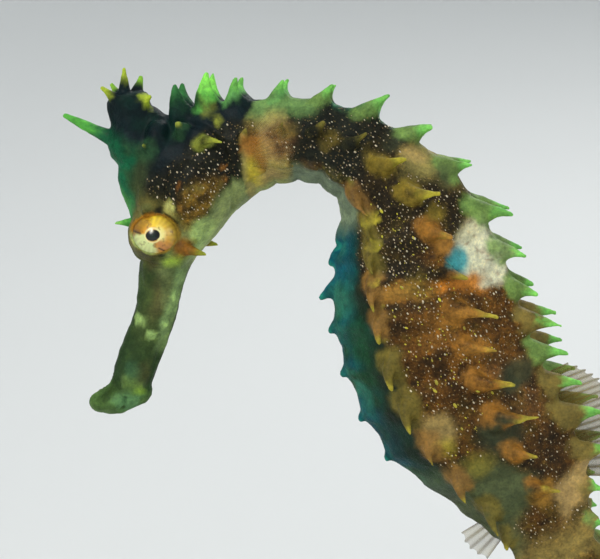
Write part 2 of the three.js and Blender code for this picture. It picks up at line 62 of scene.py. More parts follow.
# %% [markdown]
# ## The body's middle line
#
# A seahorse is easiest to draw as a bent line with a width along it. One table holds the line's
# heading and the body's reach to the back, to the belly and to the side; it could be a curve
# object with a bevel, but a table keeps every place on the body a simple sum: so far along, so
# far out, so far up. A curve that never overshoots its rows joins them.

# %% The body table
BODY = np.array([
    # distance, heading, back, belly, half width
    [0.0, 104, 2.9, 1.7, 0.9],  # lips
    [0.8, 98, 3.9, 2.3, 1.45],
    [1.8, 86, 3.1, 2.4, 1.65],
    [3.2, 68, 2.1, 2.2, 1.75],  # snout tube
    [7.0, 67, 2.05, 2.15, 1.7],
    [12.0, 75, 2.2, 2.2, 1.8],
    [15.2, 77, 2.7, 2.6, 2.4],
    [18.5, 72, 4.9, 3.5, 3.3],  # eyes
    [21.7, 64, 7.9, 4.1, 4.0],  # forehead
    [23.6, 56, 8.5, 4.3, 4.2],  # crown and gill covers
    [25.9, 43.5, 6.0, 4.6, 4.3],
    [27.8, 33, 6.2, 4.55, 4.25],  # nape
    [29.8, 22, 5.4, 4.5, 4.1],  # shoulder
    [33.6, 6, 4.4, 4.3, 3.9],
    [37.6, -13.5, 4.3, 4.2, 3.9],  # top of the neck's arch
    [42.0, -35, 4.7, 4.8, 4.3],
    [47.0, -56, 6.2, 7.0, 5.2],
    [52.0, -73, 7.6, 9.0, 6.0],
    [58.0, -76, 8.6, 10.4, 6.5],  # deepest trunk
    [64.0, -69, 8.8, 10.5, 6.6],
    [70.5, -62, 8.9, 9.7, 6.3],
    [74.0, -59, 8.8, 8.0, 5.9],
    [78.0, -57, 8.1, 6.3, 5.2],
    [82.0, -56, 6.2, 5.0, 4.4],  # vent
    [87.0, -60, 4.2, 3.7, 3.5],  # tail
    [97.0, -74, 3.4, 3.1, 3.0],
    [109.0, -96, 2.9, 2.6, 2.6],
    [125.0, -152, 2.3, 2.1, 2.1],
    [140.0, -245, 1.8, 1.6, 1.6],
    [153.0, -360, 1.3, 1.2, 1.2],
    [163.0, -490, 0.9, 0.8, 0.8],
    [168.0, -580, 0.5, 0.5, 0.5],
])
HEADING, BACK, BELLY, HALF = 1, 2, 3, 4
MOUTH = np.array([-25.15, 0.0, 64.8])
TAIL_TIP = BODY[-1, 0]


def row_slopes(column):
    """The curve's slope at each row; flat where it turns, so it never overshoots."""
    gaps = np.diff(BODY[:, 0])
    steps = np.diff(BODY[:, column]) / gaps
    before, after = gaps[:-1], gaps[1:]
    inner = np.zeros(len(steps) - 1)
    same = steps[:-1] * steps[1:] > 0
    pull = (2 * after + before)[same] / steps[:-1][same]
    pull = pull + (after + 2 * before)[same] / steps[1:][same]
    inner[same] = 3 * (before + after)[same] / pull
    return np.concatenate([steps[:1], inner, steps[-1:]])


SLOPES = {column: row_slopes(column) for column in (HEADING, BACK, BELLY, HALF)}


def body_value(column, distance):
    """One column of the table at any distance from the mouth."""
    distance = np.asarray(distance, float)
    row = np.clip(np.searchsorted(BODY[:, 0], distance, side="right") - 1, 0, len(BODY) - 2)
    span = BODY[row + 1, 0] - BODY[row, 0]
    t = np.clip((distance - BODY[row, 0]) / span, 0, 1)
    ends = ((2 * t**3 - 3 * t**2 + 1) * BODY[row, column]
            + (3 * t**2 - 2 * t**3) * BODY[row + 1, column])
    leaving = (t**3 - 2 * t**2 + t) * span * SLOPES[column][row]
    arriving = (t**3 - t**2) * span * SLOPES[column][row + 1]
    return ends + leaving + arriving


# %% The line itself, and places measured from it
LINE_STEP = 0.1
LINE_AT = np.arange(0, TAIL_TIP + LINE_STEP / 2, LINE_STEP)
step_heading = np.radians(body_value(HEADING, LINE_AT[:-1] + LINE_STEP / 2))
line_steps = LINE_STEP * np.stack(
    [np.cos(step_heading), np.zeros_like(step_heading), np.sin(step_heading)], axis=1)
LINE = MOUTH + np.vstack([np.zeros(3), np.cumsum(line_steps, axis=0)])
print(f"line: {LINE_AT[-1]:.0f} mm from mouth to tail tip, ends at", LINE[-1].round(1))


def axes_at(distance):
    """The directions along the body and to the back."""
    heading = np.radians(body_value(HEADING, distance))
    nothing = np.zeros_like(heading)
    along = np.stack([np.cos(heading), nothing, np.sin(heading)], axis=-1)
    back = np.stack([-np.sin(heading), nothing, np.cos(heading)], axis=-1)
    return along, back


def place(distance, out, up):
    """The point so far along the line, out to the side (+Y) and up towards the back."""
    distance, out, up = np.broadcast_arrays(*(np.asarray(v, float) for v in (distance, out, up)))
    centre = np.stack([np.interp(distance, LINE_AT, LINE[:, axis]) for axis in range(3)], axis=-1)
    _, back = axes_at(distance)
    return centre + up[..., None] * back + out[..., None] * np.array([0.0, 1.0, 0.0])


# %% [markdown]
# ## Rings, ridges and plates
#
# Under the skin lie bony plates. Each ring is a hoop that stands out a little, each long ridge
# joins the hoops, and the plate between them sinks in. Sculpting each plate would be slow, and a
# bump map would not show in the outline, so the cross-section itself is a function of where it
# is: a closed curve through fourteen places, drawn in between rings and between ridges.

# %% Ring places
TRUNK_RINGS = 14
FIRST_RING = 30.5
RINGS = [FIRST_RING + 3.1 * k + 0.045 * k * k for k in range(TRUNK_RINGS)]
pitch = 3.2
while RINGS[-1] + pitch < TAIL_TIP - 0.6:
    RINGS.append(RINGS[-1] + pitch)
    pitch *= 0.976
RINGS = np.array(RINGS)
print(f"{len(RINGS)} rings, {TRUNK_RINGS} of them on the neck and trunk")


def nearest_ring(distance):
    """The ring's number, and how far off it is in millimetres."""
    distance = np.asarray(distance, float)
    after = np.clip(np.searchsorted(RINGS, distance), 1, len(RINGS) - 1)
    ring = np.where(distance - RINGS[after - 1] < RINGS[after] - distance, after - 1, after)
    return ring, np.abs(RINGS[ring] - distance)


# %% Cross-sections
def whole_ring(half):
    """Half a cross-section, back to belly, as shares of half width and reach, made whole."""
    half = np.array(half)
    return np.vstack([half, half[-2:0:-1] * [-1, 1]])


CORNERS = 14  # ridges lie at the odd corners, and corner 7 is the keel
FORMS = {
    "snout": whole_ring([[math.sin(i * math.pi / 7), math.cos(i * math.pi / 7)] for i in range(8)]),
    "head": whole_ring([[0, 1], [0.42, 0.93], [0.76, 0.64], [0.97, 0.2], [1, -0.2], [0.84, -0.62],
                        [0.46, -0.9], [0, -1]]),
    "trunk": whole_ring([[0, 0.9], [0.45, 0.96], [0.76, 0.6], [1, 0.22], [0.93, -0.17],
                         [0.8, -0.54], [0.42, -0.8], [0, -1]]),
    "tail": whole_ring([[0, 0.86], [0.8, 0.95], [0.86, 0.5], [0.9, 0.02], [0.86, -0.45],
                        [0.8, -0.95], [0.4, -0.9], [0, -0.88]]),
}
ROUNDNESS = 0.75  # of the curve between corners; 0 would be straight


def form_curve(form, corner):
    """Where a closed cross-section lies at any corner number, between corners too."""
    ring = FORMS[form]
    first = np.floor(corner).astype(int)
    t = (corner - first)[..., None]
    p0, p1, p2, p3 = (ring[(first + shift) % CORNERS] for shift in (-1, 0, 1, 2))
    straight = p1 + t * (p2 - p1)
    curved = 0.5 * (2 * p1 + t * (p2 - p0) + t**2 * (2 * p0 - 5 * p1 + 4 * p2 - p3)
                    + t**3 * (3 * p1 - p0 - 3 * p2 + p3))
    return straight + ROUNDNESS * (curved - straight)


FORM_CHANGES = [("head", 12, 17), ("trunk", 26.5, 31), ("tail", 79, 86)]
RING_DIP = 0.04  # of the radius, between rings
PLATE_HOLLOW = 0.03  # of the radius, in the middle of a plate
RING_WIDTH = 0.95
TAIL_THORNS = {1: 0.9, 3: 0.15, 5: 0.6}
SPINED_TAIL_RINGS = 30


def section(distance, corner):
    """Out and up from the line, for arrays of distances and corner numbers."""
    distance, corner = np.broadcast_arrays(distance, np.mod(corner, CORNERS))
    share = form_curve("snout", corner)
    for form, low, high in FORM_CHANGES:
        share = share + smoothstep(distance, low, high)[..., None] * (form_curve(form, corner) - share)
    reach = np.where(share[..., 1] > 0, body_value(BACK, distance), body_value(BELLY, distance))
    flat = np.stack([share[..., 0] * body_value(HALF, distance), share[..., 1] * reach], axis=-1)
    radius = np.linalg.norm(flat, axis=-1)
    ring, off = nearest_ring(distance)
    between = 1 - np.exp(-(off / RING_WIDTH) ** 2)
    ridge = 0.5 - 0.5 * np.cos(np.pi * corner)
    armour = smoothstep(distance, FIRST_RING - 2.5, FIRST_RING)
    sunk = armour * between * radius * (RING_DIP * (0.4 + 0.6 * ridge) + PLATE_HOLLOW * (1 - ridge))
    shrink = np.clip(1 - (ring - TRUNK_RINGS) / SPINED_TAIL_RINGS, 0, 1) * (ring >= TRUNK_RINGS)
    risen = np.zeros_like(radius)
    for ridge_corner, height in TAIL_THORNS.items():
        for same in (ridge_corner, CORNERS - ridge_corner):
            across = np.exp(-((corner - same) / 0.42) ** 2)
            risen = risen + height * shrink * across * np.exp(-(off / 0.55) ** 2)
    return flat * ((radius - sunk + risen) / radius)[..., None]


def on_skin(distance, corner):
    flat = section(distance, corner)
    return place(distance, flat[..., 0], flat[..., 1])


# %% [markdown]
# ## Closed shells
#
# The whole fleshy body becomes one skin. The parts of it, such as the tube of the body, the gill
# covers and each thorn, are first built as separate closed shells that sink into each other,
# because each is then a few lines of code. Later they are fused. One helper makes them all: it
# joins a stack of loops and closes both ends.

# %% A stack of loops as a closed shell
SHELLS = []  # (points, faces) of every shell that the skin is fused from


def loft(loops, closed_ends=True):
    """Points and quads through loops of equal count, with a fan at each end."""
    loops = np.asarray(loops, float)
    rows, count, _ = loops.shape
    points = loops.reshape(-1, 3)
    here = np.arange(count)
    nxt = (here + 1) % count
    faces = []
    for row in range(rows - 1):
        low, high = row * count, (row + 1) * count
        faces += np.stack([low + here, low + nxt, high + nxt, high + here], axis=1).tolist()
    if closed_ends:
        points = np.vstack([points, loops[0].mean(axis=0), loops[-1].mean(axis=0)])
        first, last = len(points) - 2, len(points) - 1
        top = (rows - 1) * count
        faces += [[first, b, a] for a, b in zip(here, nxt)]
        faces += [[last, top + a, top + b] for a, b in zip(here, nxt)]
    return points, faces


def add_shell(loops):
    """Turned the right way out: the fusing step needs to know which side is solid."""
    points, faces = loft(loops)
    middle = points.mean(axis=0)
    a, b, c = (points[[face[i] for face in faces]] - middle for i in (0, 1, 2))
    if np.einsum("ij,ij->i", a, np.cross(b, c)).sum() < 0:
        faces = [face[::-1] for face in faces]
    SHELLS.append((points, faces))


# %% The tube of the body, from lips to tail tip
AROUND = 112
SECTION_STEP = 0.28
corners_round = np.linspace(0, CORNERS, AROUND, endpoint=False)
distances = np.linspace(0, TAIL_TIP, int(TAIL_TIP / SECTION_STEP))
tube = on_skin(distances[:, None], corners_round[None, :])


def rounded_end(loop, outward, depth):
    """Smaller and smaller loops that close an end with a dome."""
    middle = loop.mean(axis=0)
    turns = np.radians([30, 55, 75])
    return [middle + (loop - middle) * math.cos(turn) + outward * depth * math.sin(turn)
            for turn in turns]


end_ways, _ = axes_at(np.array([0.0, TAIL_TIP]))
lips_end = rounded_end(tube[0], -end_ways[0], 0.35)[::-1]
tail_end = rounded_end(tube[-1], end_ways[1], 0.45)
add_shell(np.stack([*lips_end, *tube, *tail_end]))
print(f"body tube: {len(SHELLS[0][0])} points")

# %% [markdown]
# ## Thorns
#
# A live thorn is a fleshy cone: a foot that flares into the skin, slightly hollow sides, a blunt
# tip, and a lean towards the tail. They could be one mesh copied about, but each has its own
# size and bend, so a function grows each from its root. It also notes where the thorn stands,
# because the colours follow the thorns later.

# %% One thorn
THORNS = []  # of each: root, tip, radius, kind and its place along the body
THORN_SIDES = 16
THORN_SUNK = 0.9
BLUNT = {"keel": 0.32, "coronet": 0.24, "frond": 0.3, "nape": 0.2}  # tip radii of the blunter kinds
SHARP = 0.2
HOLLOW_SIDES = 1.65  # 1 is a straight cone, more is hollower
HOLLOW = {"coronet": 1.4, "frond": 1.15, "nape": 1.05, "cheek": 1.2}  # kinds that are less hollow
BULGE = 0.55  # how far a leaning thorn swings out before it turns


def grow_thorn(root, direction, length, radius, kind, long_way, bend=None, wide=1.15, flat=0.8,
               at=0.0, rise=None):
    """A cone wider along long_way than across it. It leaves the skin along rise, turns to its own
    direction as it grows, and its tip is drawn towards bend."""
    blunt = BLUNT.get(kind, SHARP)
    direction, long_way = unit(direction), np.asarray(long_way, float)
    rise = direction if rise is None else unit(rise)
    bend = np.zeros(3) if bend is None else np.asarray(bend, float)
    height = np.concatenate([[-THORN_SUNK, -0.45], np.linspace(0, 1, 11) * (length - blunt)])
    share = np.clip(height / length, 0, 1)
    thick = blunt + (radius - blunt) * (1 - share) ** HOLLOW.get(kind, HOLLOW_SIDES)
    thick = thick * (1 + 0.45 * np.clip(-height / THORN_SUNK, 0, 1))
    dome = np.radians([35, 65])
    height = np.concatenate([height, length - blunt + blunt * np.sin(dome)])
    thick = np.concatenate([thick, thick[-1] * np.cos(dome)])
    share = np.clip(height / length, 0, 1)
    turn = np.linspace(0, 2 * np.pi, THORN_SIDES, endpoint=False)
    shape = 1 - (1 - np.array([wide, flat])[:, None]) * (1 - share)  # the tip is round
    loops = []
    for h, r, s, w, f in zip(height, thick, share, *shape):
        way = unit(rise + (direction - rise) * min(1, 1.6 * s))
        first = unit(long_way - long_way @ way * way)
        second = np.cross(way, first)
        swing = BULGE * length * s * (1 - s) * (rise - direction)
        middle = root + direction * h + swing + bend * s * s
        if h < 0:
            middle = root + rise * h
        loops.append(middle + r * (w * np.cos(turn)[:, None] * first
                                   + f * np.sin(turn)[:, None] * second))
    add_shell(np.stack(loops))
    tip = root + direction * length + bend
    THORNS.append({"root": np.asarray(root, float), "tip": tip, "radius": radius, "kind": kind,
                   "at": at})


def body_thorn(at, out, up, lean, length, radius, kind, side=1, curl=0.25, **shape):
    """Its lean is given along the body, to the back and outwards; the tip curls to the tail."""
    along, back = axes_at(at)
    direction = lean[0] * along + lean[1] * back + np.array([0, lean[2] * side, 0])
    root = place(at, side * out, up)
    rise = up * back + np.array([0, out * side, 0])
    grow_thorn(root, direction, length, radius, kind, along, bend=curl * along, at=at, rise=rise,
               **shape)


# %% The trunk's thorns, one on each ridge of each ring
TRUNK_THORNS = [
    {"corner": 1, "lean": [0.3, 0.9, 0.3], "length": 3.1, "radius": 1.3, "kind": "upper"},
    {"corner": 3, "lean": [0.3, 0.76, 0.58], "length": 3.4, "radius": 1.25, "kind": "side"},
    {"corner": 5, "lean": [0.75, -0.2, 0.6], "length": 2.6, "radius": 1.15, "kind": "lower"},
]
LONGER_UPPER = 8  # past this ring the upper thorns are longer
FAINT_RINGS = {"side": (0, 1, 2), "lower": (0, 1, 2, 3)}  # the neck's thorns are mere bumps
LOW_SIDE_RINGS = (8, 11)  # here the side thorns are longer and lie closer to the flank
LOW_SIDE_LEAN, LOW_SIDE_LONGER = [0.3, 0.95, 0.3], 1.25
KEELED_RINGS = (5, 11)
LONG_KEEL = 7  # the ring whose keel thorn is the longest


def thorn_size(ring, corner):
    """Sizes vary from ring to ring, and grow from the neck to the trunk."""
    longer = 0.2 if corner == 1 and ring > LONGER_UPPER else 0
    return (0.92 + 0.16 * math.sin(2.1 * ring + 1.3 * corner) + longer) * min(1, 0.72 + 0.07 * ring)


for ring, at in enumerate(RINGS[:TRUNK_RINGS]):
    for row in TRUNK_THORNS:
        out, up = section(at, float(row["corner"])) * 0.95
        size = thorn_size(ring, row["corner"])
        if row["kind"] in FAINT_RINGS and ring in FAINT_RINGS[row["kind"]]:
            size *= 0.6
        lean, length = row["lean"], row["length"] * size
        if row["kind"] == "side" and LOW_SIDE_RINGS[0] <= ring <= LOW_SIDE_RINGS[1]:
            lean, length = LOW_SIDE_LEAN, length * LOW_SIDE_LONGER
        for side in (1, -1):
            body_thorn(at, out, up, lean, length, row["radius"] * math.sqrt(size), row["kind"], side)
    if KEELED_RINGS[0] <= ring <= KEELED_RINGS[1]:
        keel = 1.7 if ring == LONG_KEEL else 0.9
        body_thorn(at, 0, section(at, 7.0)[1] * 0.96, [0.15, -1, 0], keel, 0.85, "keel")

# %% The tail's thorns, smaller at each ring
THORNED_TAIL_RINGS = 17
TAIL_THORN_ROWS = [  # corner, lean, length, radius, kind
    (1, [0.45, 0.8, 0.4], 1.5, 0.72, "upper"),
    (5, [0.5, -0.6, 0.6], 1.1, 0.6, "lower"),
]
for ring in range(TRUNK_RINGS, TRUNK_RINGS + THORNED_TAIL_RINGS):
    past_trunk = ring - TRUNK_RINGS
    shrink = (1 - past_trunk / 24) * (1.0 if past_trunk % 3 == 0 else 0.62)
    for corner, lean, length, radius, kind in TAIL_THORN_ROWS:
        out, up = section(RINGS[ring], float(corner)) * 0.8
        for side in (1, -1):
            body_thorn(RINGS[ring], out, up, lean, length * shrink + 0.5, radius * shrink + 0.2,
                       kind, side, curl=0.1)
print(f"{len(THORNS)} thorns on the neck, trunk and tail")

# %% [markdown]
# ## The head
#
# The head gets the most care. Over the swept core go the parts that give a seahorse its face:
# the two gill covers, the turret that carries each eye, a ridge from the snout over the eye to
# the crown, a cheek that ends in a thorn, and the small side ridges. Each is an ellipsoid or a
# turned rim set by its distance along the body, so the face stays in place if the body changes.

# %% Rounded masses of the head
def add_ellipsoid(at, out, up, along_r, out_r, up_r, tilt=0.0, side=1, rows=14, count=26):
    """Its long axis lies along the body, tilted by some degrees towards the back."""
    along, back = axes_at(at)
    turn = math.radians(tilt)
    long_axis = math.cos(turn) * along + math.sin(turn) * back
    high_axis = math.cos(turn) * back - math.sin(turn) * along
    add_ball(place(at, side * out, up), long_axis, high_axis, along_r, out_r, up_r, rows, count)


def add_ball(centre, long_axis, high_axis, along_r, out_r, up_r, rows=14, count=26):
    """An ellipsoid as a stack of loops along its long axis."""
    lat = np.linspace(-np.pi / 2, np.pi / 2, rows + 2)[1:-1]
    lon = np.linspace(0, 2 * np.pi, count, endpoint=False)
    loops = [centre + along_r * math.sin(v) * long_axis
             + math.cos(v) * (up_r * np.cos(lon)[:, None] * high_axis
                              + out_r * np.sin(lon)[:, None] * np.array([0, 1.0, 0]))
             for v in lat]
    add_shell(np.stack(loops))


HEAD_MASSES = [
    # at, out, up, along, outwards, high, tilt
    (23.6, 2.1, 0.1, 4.4, 2.85, 3.5, 8),  # gill cover
    (20.9, 2.2, 3.4, 3.2, 1.75, 1.5, 28),  # brow ridge, from over the eye to the crown
    (17.2, 1.9, 0.2, 2.6, 1.5, 1.1, -28),  # cheek, from under the eye to its thorn
    (15.4, 1.15, 1.7, 3.0, 0.9, 0.75, 14),  # ridge between snout and eye
    (24.2, 1.6, 5.2, 3.2, 1.8, 1.6, 35),  # crown side
]
for mass in HEAD_MASSES:
    for side in (1, -1):
        add_ellipsoid(*mass, side=side)
CROWN_MASSES = [  # on the midline: x, z, then radii along, out and high, and a tilt in degrees
    (-21.8, 92.5, 3.2, 1.9, 1.8, 0),  # between the coronet and the nape
    (-22.6, 93.6, 2.6, 1.7, 1.3, -38),  # the slope down from the coronet
]
for x, z, along_r, out_r, high_r, tilt in CROWN_MASSES:
    c, s = math.cos(math.radians(tilt)), math.sin(math.radians(tilt))
    add_ball(np.array([x, 0, z]), np.array([c, 0, s]), np.array([-s, 0, c]), along_r, out_r, high_r)

# %% Eye turrets, each a turned rim round the eyeball
EYE = np.array([-21.95, 2.75, 82.55])  # the centre of the eye on +Y; the other is mirrored
EYE_RADIUS = 2.5
EYE_DEPTH = 2.0
EYE_SQUASH = 0.92  # a little wider than high
EYES_TO = 23  # no part of an eye lies further from the mouth
TURRET_FOOT = 0.8
TURRET = [(3.1, 0.0), (3.15, 1.0), (3.0, 1.75), (2.8, 2.3), (2.6, 2.64), (2.38, 2.8), (2.2, 2.78),
          (2.05, 2.5), (1.85, 2.2)]
LID_LIFT, LID_SQUASH = 0.32, 0.08  # the lid hides more of the eye below than above
LID_EDGE = (2.1, 2.7)  # the rows between these radii lie on the eyeball
LID_THICK = (0.1, 0.38)  # at the lid's inner edge and outer edge
turret_turn = np.linspace(0, 2 * np.pi, 48, endpoint=False)
for side in (1, -1):
    loops = []
    for r, h in TURRET:
        lid = float(smoothstep(3.0 - r, 0, 0.6))
        high = EYE[2] + lid * LID_LIFT + (EYE_SQUASH - lid * LID_SQUASH) * r * np.sin(turret_turn)
        wide = EYE[0] + r * np.cos(turret_turn)
        deep = np.full_like(wide, TURRET_FOOT + h)
        if LID_EDGE[0] < r < LID_EDGE[1]:
            off = np.hypot(wide - EYE[0], (high - EYE[2]) / EYE_SQUASH) / EYE_RADIUS
            over = np.interp(r, LID_EDGE, LID_THICK)
            deep = np.maximum(deep, EYE[1] + EYE_DEPTH * np.sqrt(np.clip(1 - off**2, 0, 1)) + over)
        loops.append(np.stack([wide, side * deep, high], axis=1))
    add_shell(np.array(loops))

# %% Head thorns
HEAD_THORNS = [
    # at, out, up, lean, length, radius, kind
    (18.3, 0, 3.6, [-0.28, 0.96, 0], 3.1, 0.8, "nose"),
    (19.9, 3.0, 2.9, [0.1, 0.3, 0.95], 1.7, 1.0, "brow"),
    (17.7, 2.8, -0.7, [0.08, -0.9, 0.38], 3.4, 1.15, "cheek"),
    (24.2, 2.5, 5.7, [0, 0.5, 0.85], 1.7, 0.8, "crown"),
    (26.6, 3.1, 5.0, [0.1, 0.5, 0.85], 1.1, 0.7, "crown"),
    (27.4, 3.9, 2.6, [0.6, -0.45, 0.65], 2.9, 0.8, "gill"),
    (26.9, 1.4, 5.7, [0.46, 0.88, 0.22], 3.6, 1.35, "nape"),
    (28.6, 1.4, 5.2, [0.5, 0.88, 0.22], 3.6, 1.35, "nape"),
]
for at, out, up, lean, length, radius, kind in HEAD_THORNS:
    for side in (1, -1) if out else (1,):
        body_thorn(at, out, up, lean, length, radius, kind, side, curl=0.0)

# %% The coronet, a stump on the crown with its thorns spread
CORONET_FOOT = np.array([-24.1, 0, 91.0])
CORONET_TOP = np.array([-25.1, 0, 96.2])
CORONET_STUMP = [  # share of the height, radius
    (-0.5, 1.2), (-0.36, 2.0), (-0.2, 2.6), (-0.05, 2.85), (0.12, 2.85), (0.3, 2.5), (0.55, 2.2),
    (0.8, 2.15), (0.95, 2.15), (1.02, 1.8), (1.05, 1.1),
]
CORONET_THORNS = [  # root, tip
    ([-26.4, 0, 91.7], [-31.8, 0, 94.3]),
    ([-25.9, -0.9, 95.6], [-27.5, -1.9, 97.1]),
    ([-25.9, 0.9, 95.6], [-27.3, 2.0, 97.4]),
    ([-25.4, -0.5, 96.0], [-25.3, -0.9, 99.0]),
    ([-24.5, 0.9, 96.0], [-24.1, 1.8, 98.2]),
    ([-23.8, -0.7, 95.4], [-22.5, -1.7, 96.2]),
]
stump_axis = CORONET_TOP - CORONET_FOOT
stump_side = unit(np.cross(stump_axis, [0, 1.0, 0]))
stump_turn = np.linspace(0, 2 * np.pi, 40, endpoint=False)
stump = []
for share, radius in CORONET_STUMP:
    lobes = radius * (1 + 0.07 * share * np.cos(5 * stump_turn + 0.5)
                      + 0.05 * np.cos(3 * stump_turn + 9 * share))
    stump.append(CORONET_FOOT + share * stump_axis
                 + (lobes * np.cos(stump_turn))[:, None] * stump_side
                 + (lobes * np.sin(stump_turn))[:, None] * np.array([0, 1.0, 0]))
add_shell(np.stack(stump))
for number, (root, tip) in enumerate(CORONET_THORNS):
    reach = np.subtract(tip, root)
    kind = "coronet" if number else "frond"
    grow_thorn(np.array(root), reach, np.linalg.norm(reach), 0.85, kind, stump_axis, wide=1, flat=1)
print(f"{len(SHELLS)} shells, {len(THORNS)} of them thorns")

# %% [markdown]
# ## One skin
#
# The shells still cross each other inside. A voxel remesh keeps only the outer surface and fuses
# them; joining them one by one with booleans would leave hard seams. The remesh runs at one unit
# per millimetre, since its cells are only about a sixth of a millimetre. A light smooth takes
# away the steps that the cells leave.

# %% Fusing the shells
VOXEL = 0.17


def new_object(name, points, faces, scale=MM):
    mesh = bpy.data.meshes.new(name)
    mesh.from_pydata((np.asarray(points) * scale).tolist(), [], faces)
    mesh.update()
    piece = bpy.data.objects.new(name, mesh)
    bpy.context.scene.collection.objects.link(piece)
    return piece


def applied(piece):
    """Replaces the piece's mesh by what its modifiers make of it."""
    graph = bpy.context.evaluated_depsgraph_get()
    made = bpy.data.meshes.new_from_object(piece.evaluated_get(graph))
    old = piece.data
    piece.modifiers.clear()
    piece.data = made
    bpy.data.meshes.remove(old)
    return piece


def mesh_points(mesh):
    flat = np.empty(3 * len(mesh.vertices))
    mesh.vertices.foreach_get("co", flat)
    return flat.reshape(-1, 3)


def mesh_normals(mesh):
    flat = np.empty(3 * len(mesh.vertices), np.float32)
    mesh.vertex_normals.foreach_get("vector", flat)
    return flat.reshape(-1, 3).astype(float)



# %% One mesh of all the shells, then one skin
offsets = np.cumsum([0] + [len(points) for points, _ in SHELLS])
all_faces = [[corner + start for corner in face]
             for (_, faces), start in zip(SHELLS, offsets) for face in faces]
skin = new_object("skin", np.vstack([points for points, _ in SHELLS]), all_faces, scale=1)
fuse = skin.modifiers.new("fuse", "REMESH")
fuse.mode = "VOXEL"
fuse.voxel_size = VOXEL
soften = skin.modifiers.new("soften", "SMOOTH")
soften.factor = 0.5
soften.iterations = 3
applied(skin)
print(f"fused skin: {len(skin.data.vertices)} points, {len(skin.data.polygons)} faces")

# %% [markdown]
# ## Where each point of the skin lies on the animal
#
# The folds, the mouth and all the markings are placed by body measures: distance from the mouth,
# the way round from the back to the belly, and height over the snout. So every point of the skin
# looks up its nearest place on the middle line. The tail curls up close to itself, but never
# closer than its own width, so the nearest place is always the right one.

# %% Body measures of a point
COARSE = 8  # first the nearest of every eighth line point, then the best one near it


def nearest_on_line(points):
    coarse = LINE[::COARSE]
    best = np.empty(len(points), int)
    for start in range(0, len(points), 20000):
        some = points[start:start + 20000]
        gap = ((some[:, None, :] - coarse[None, :, :]) ** 2).sum(axis=2)
        best[start:start + 20000] = gap.argmin(axis=1) * COARSE
    window = np.clip(best[:, None] + np.arange(-COARSE, COARSE + 1), 0, len(LINE) - 1)
    gap = ((points[:, None, :] - LINE[window]) ** 2).sum(axis=2)
    return window[np.arange(len(points)), gap.argmin(axis=1)]


def body_measures(points):
    """Distance along, angle round from the back in degrees (0 to 180), out and up."""
    at = nearest_on_line(points)
    distance = LINE_AT[at]
    _, back = axes_at(distance)
    arm = points - LINE[at]
    up = (arm * back).sum(axis=1)
    return distance, np.degrees(np.arctan2(np.abs(arm[:, 1]), up)), arm[:, 1], up


# %% [markdown]
# ## Mouth, nostrils, gill slits and folds
#
# These are small dents and creases in the skin, too fine to build as shells. Pushing points of
# the dense mesh in or out along their normals draws each as a groove with soft sides, which a
# boolean cut would not. In the same way the snout is set a little nearer to the brow and the
# upper lip flares. Only then is the mesh thinned, so that the faces that are left gather where
# the shape is busy.

# %% Noise, grooves and bands to draw with
def lumps(points, size, seed):
    """Smooth seeded noise from -1 to 1, with lumps of about this size in millimetres."""
    cells = points / size + 31.7 * seed
    base = np.floor(cells).astype(np.int64)
    part = cells - base
    part = part * part * (3 - 2 * part)
    total = np.zeros(len(points))
    for corner in range(8):
        step = np.array([corner & 1, (corner >> 1) & 1, corner >> 2])
        x, y, z = (base + step).T
        mixed = (x * 73856093) ^ (y * 19349663) ^ (z * 83492791) ^ (seed * 2654435761)
        mixed = (mixed ^ (mixed >> 13)) * 1274126177 & 0xFFFFFFF
        weight = np.where(step, part, 1 - part).prod(axis=1)
        total += weight * (mixed / 0xFFFFFFF * 2 - 1)
    return total


def groove(gap, width):
    """1 in the middle of a line and nearly 0 at twice its width."""
    return np.exp(-(gap / width) ** 2)


def band(value, low, high, soft):
    """1 between low and high, with edges as soft as told."""
    return smoothstep(value, low - soft, low + soft) * (1 - smoothstep(value, high - soft, high + soft))


def ring_seam(distance, width):
    """1 half-way between two rings; the width is a share of their distance."""
    pitch = np.interp(distance, RINGS[:-1], np.diff(RINGS))
    return groove(nearest_ring(distance)[1] / pitch - 0.5, width)


def path_gap(points, path):
    """Each point's distance from a path of straight steps."""
    best = np.full(len(points), 1e9)
    for start, end in zip(path[:-1], path[1:]):
        step = end - start
        share = np.clip((points - start) @ step / (step @ step), 0, 1)
        best = np.minimum(best, np.linalg.norm(points - start - share[:, None] * step, axis=1))
    return best


def side_path(rows, side):
    """A path on one side of the body, from rows of distance, out and up."""
    return np.stack([place(distance, side * out, up) for distance, out, up in rows])


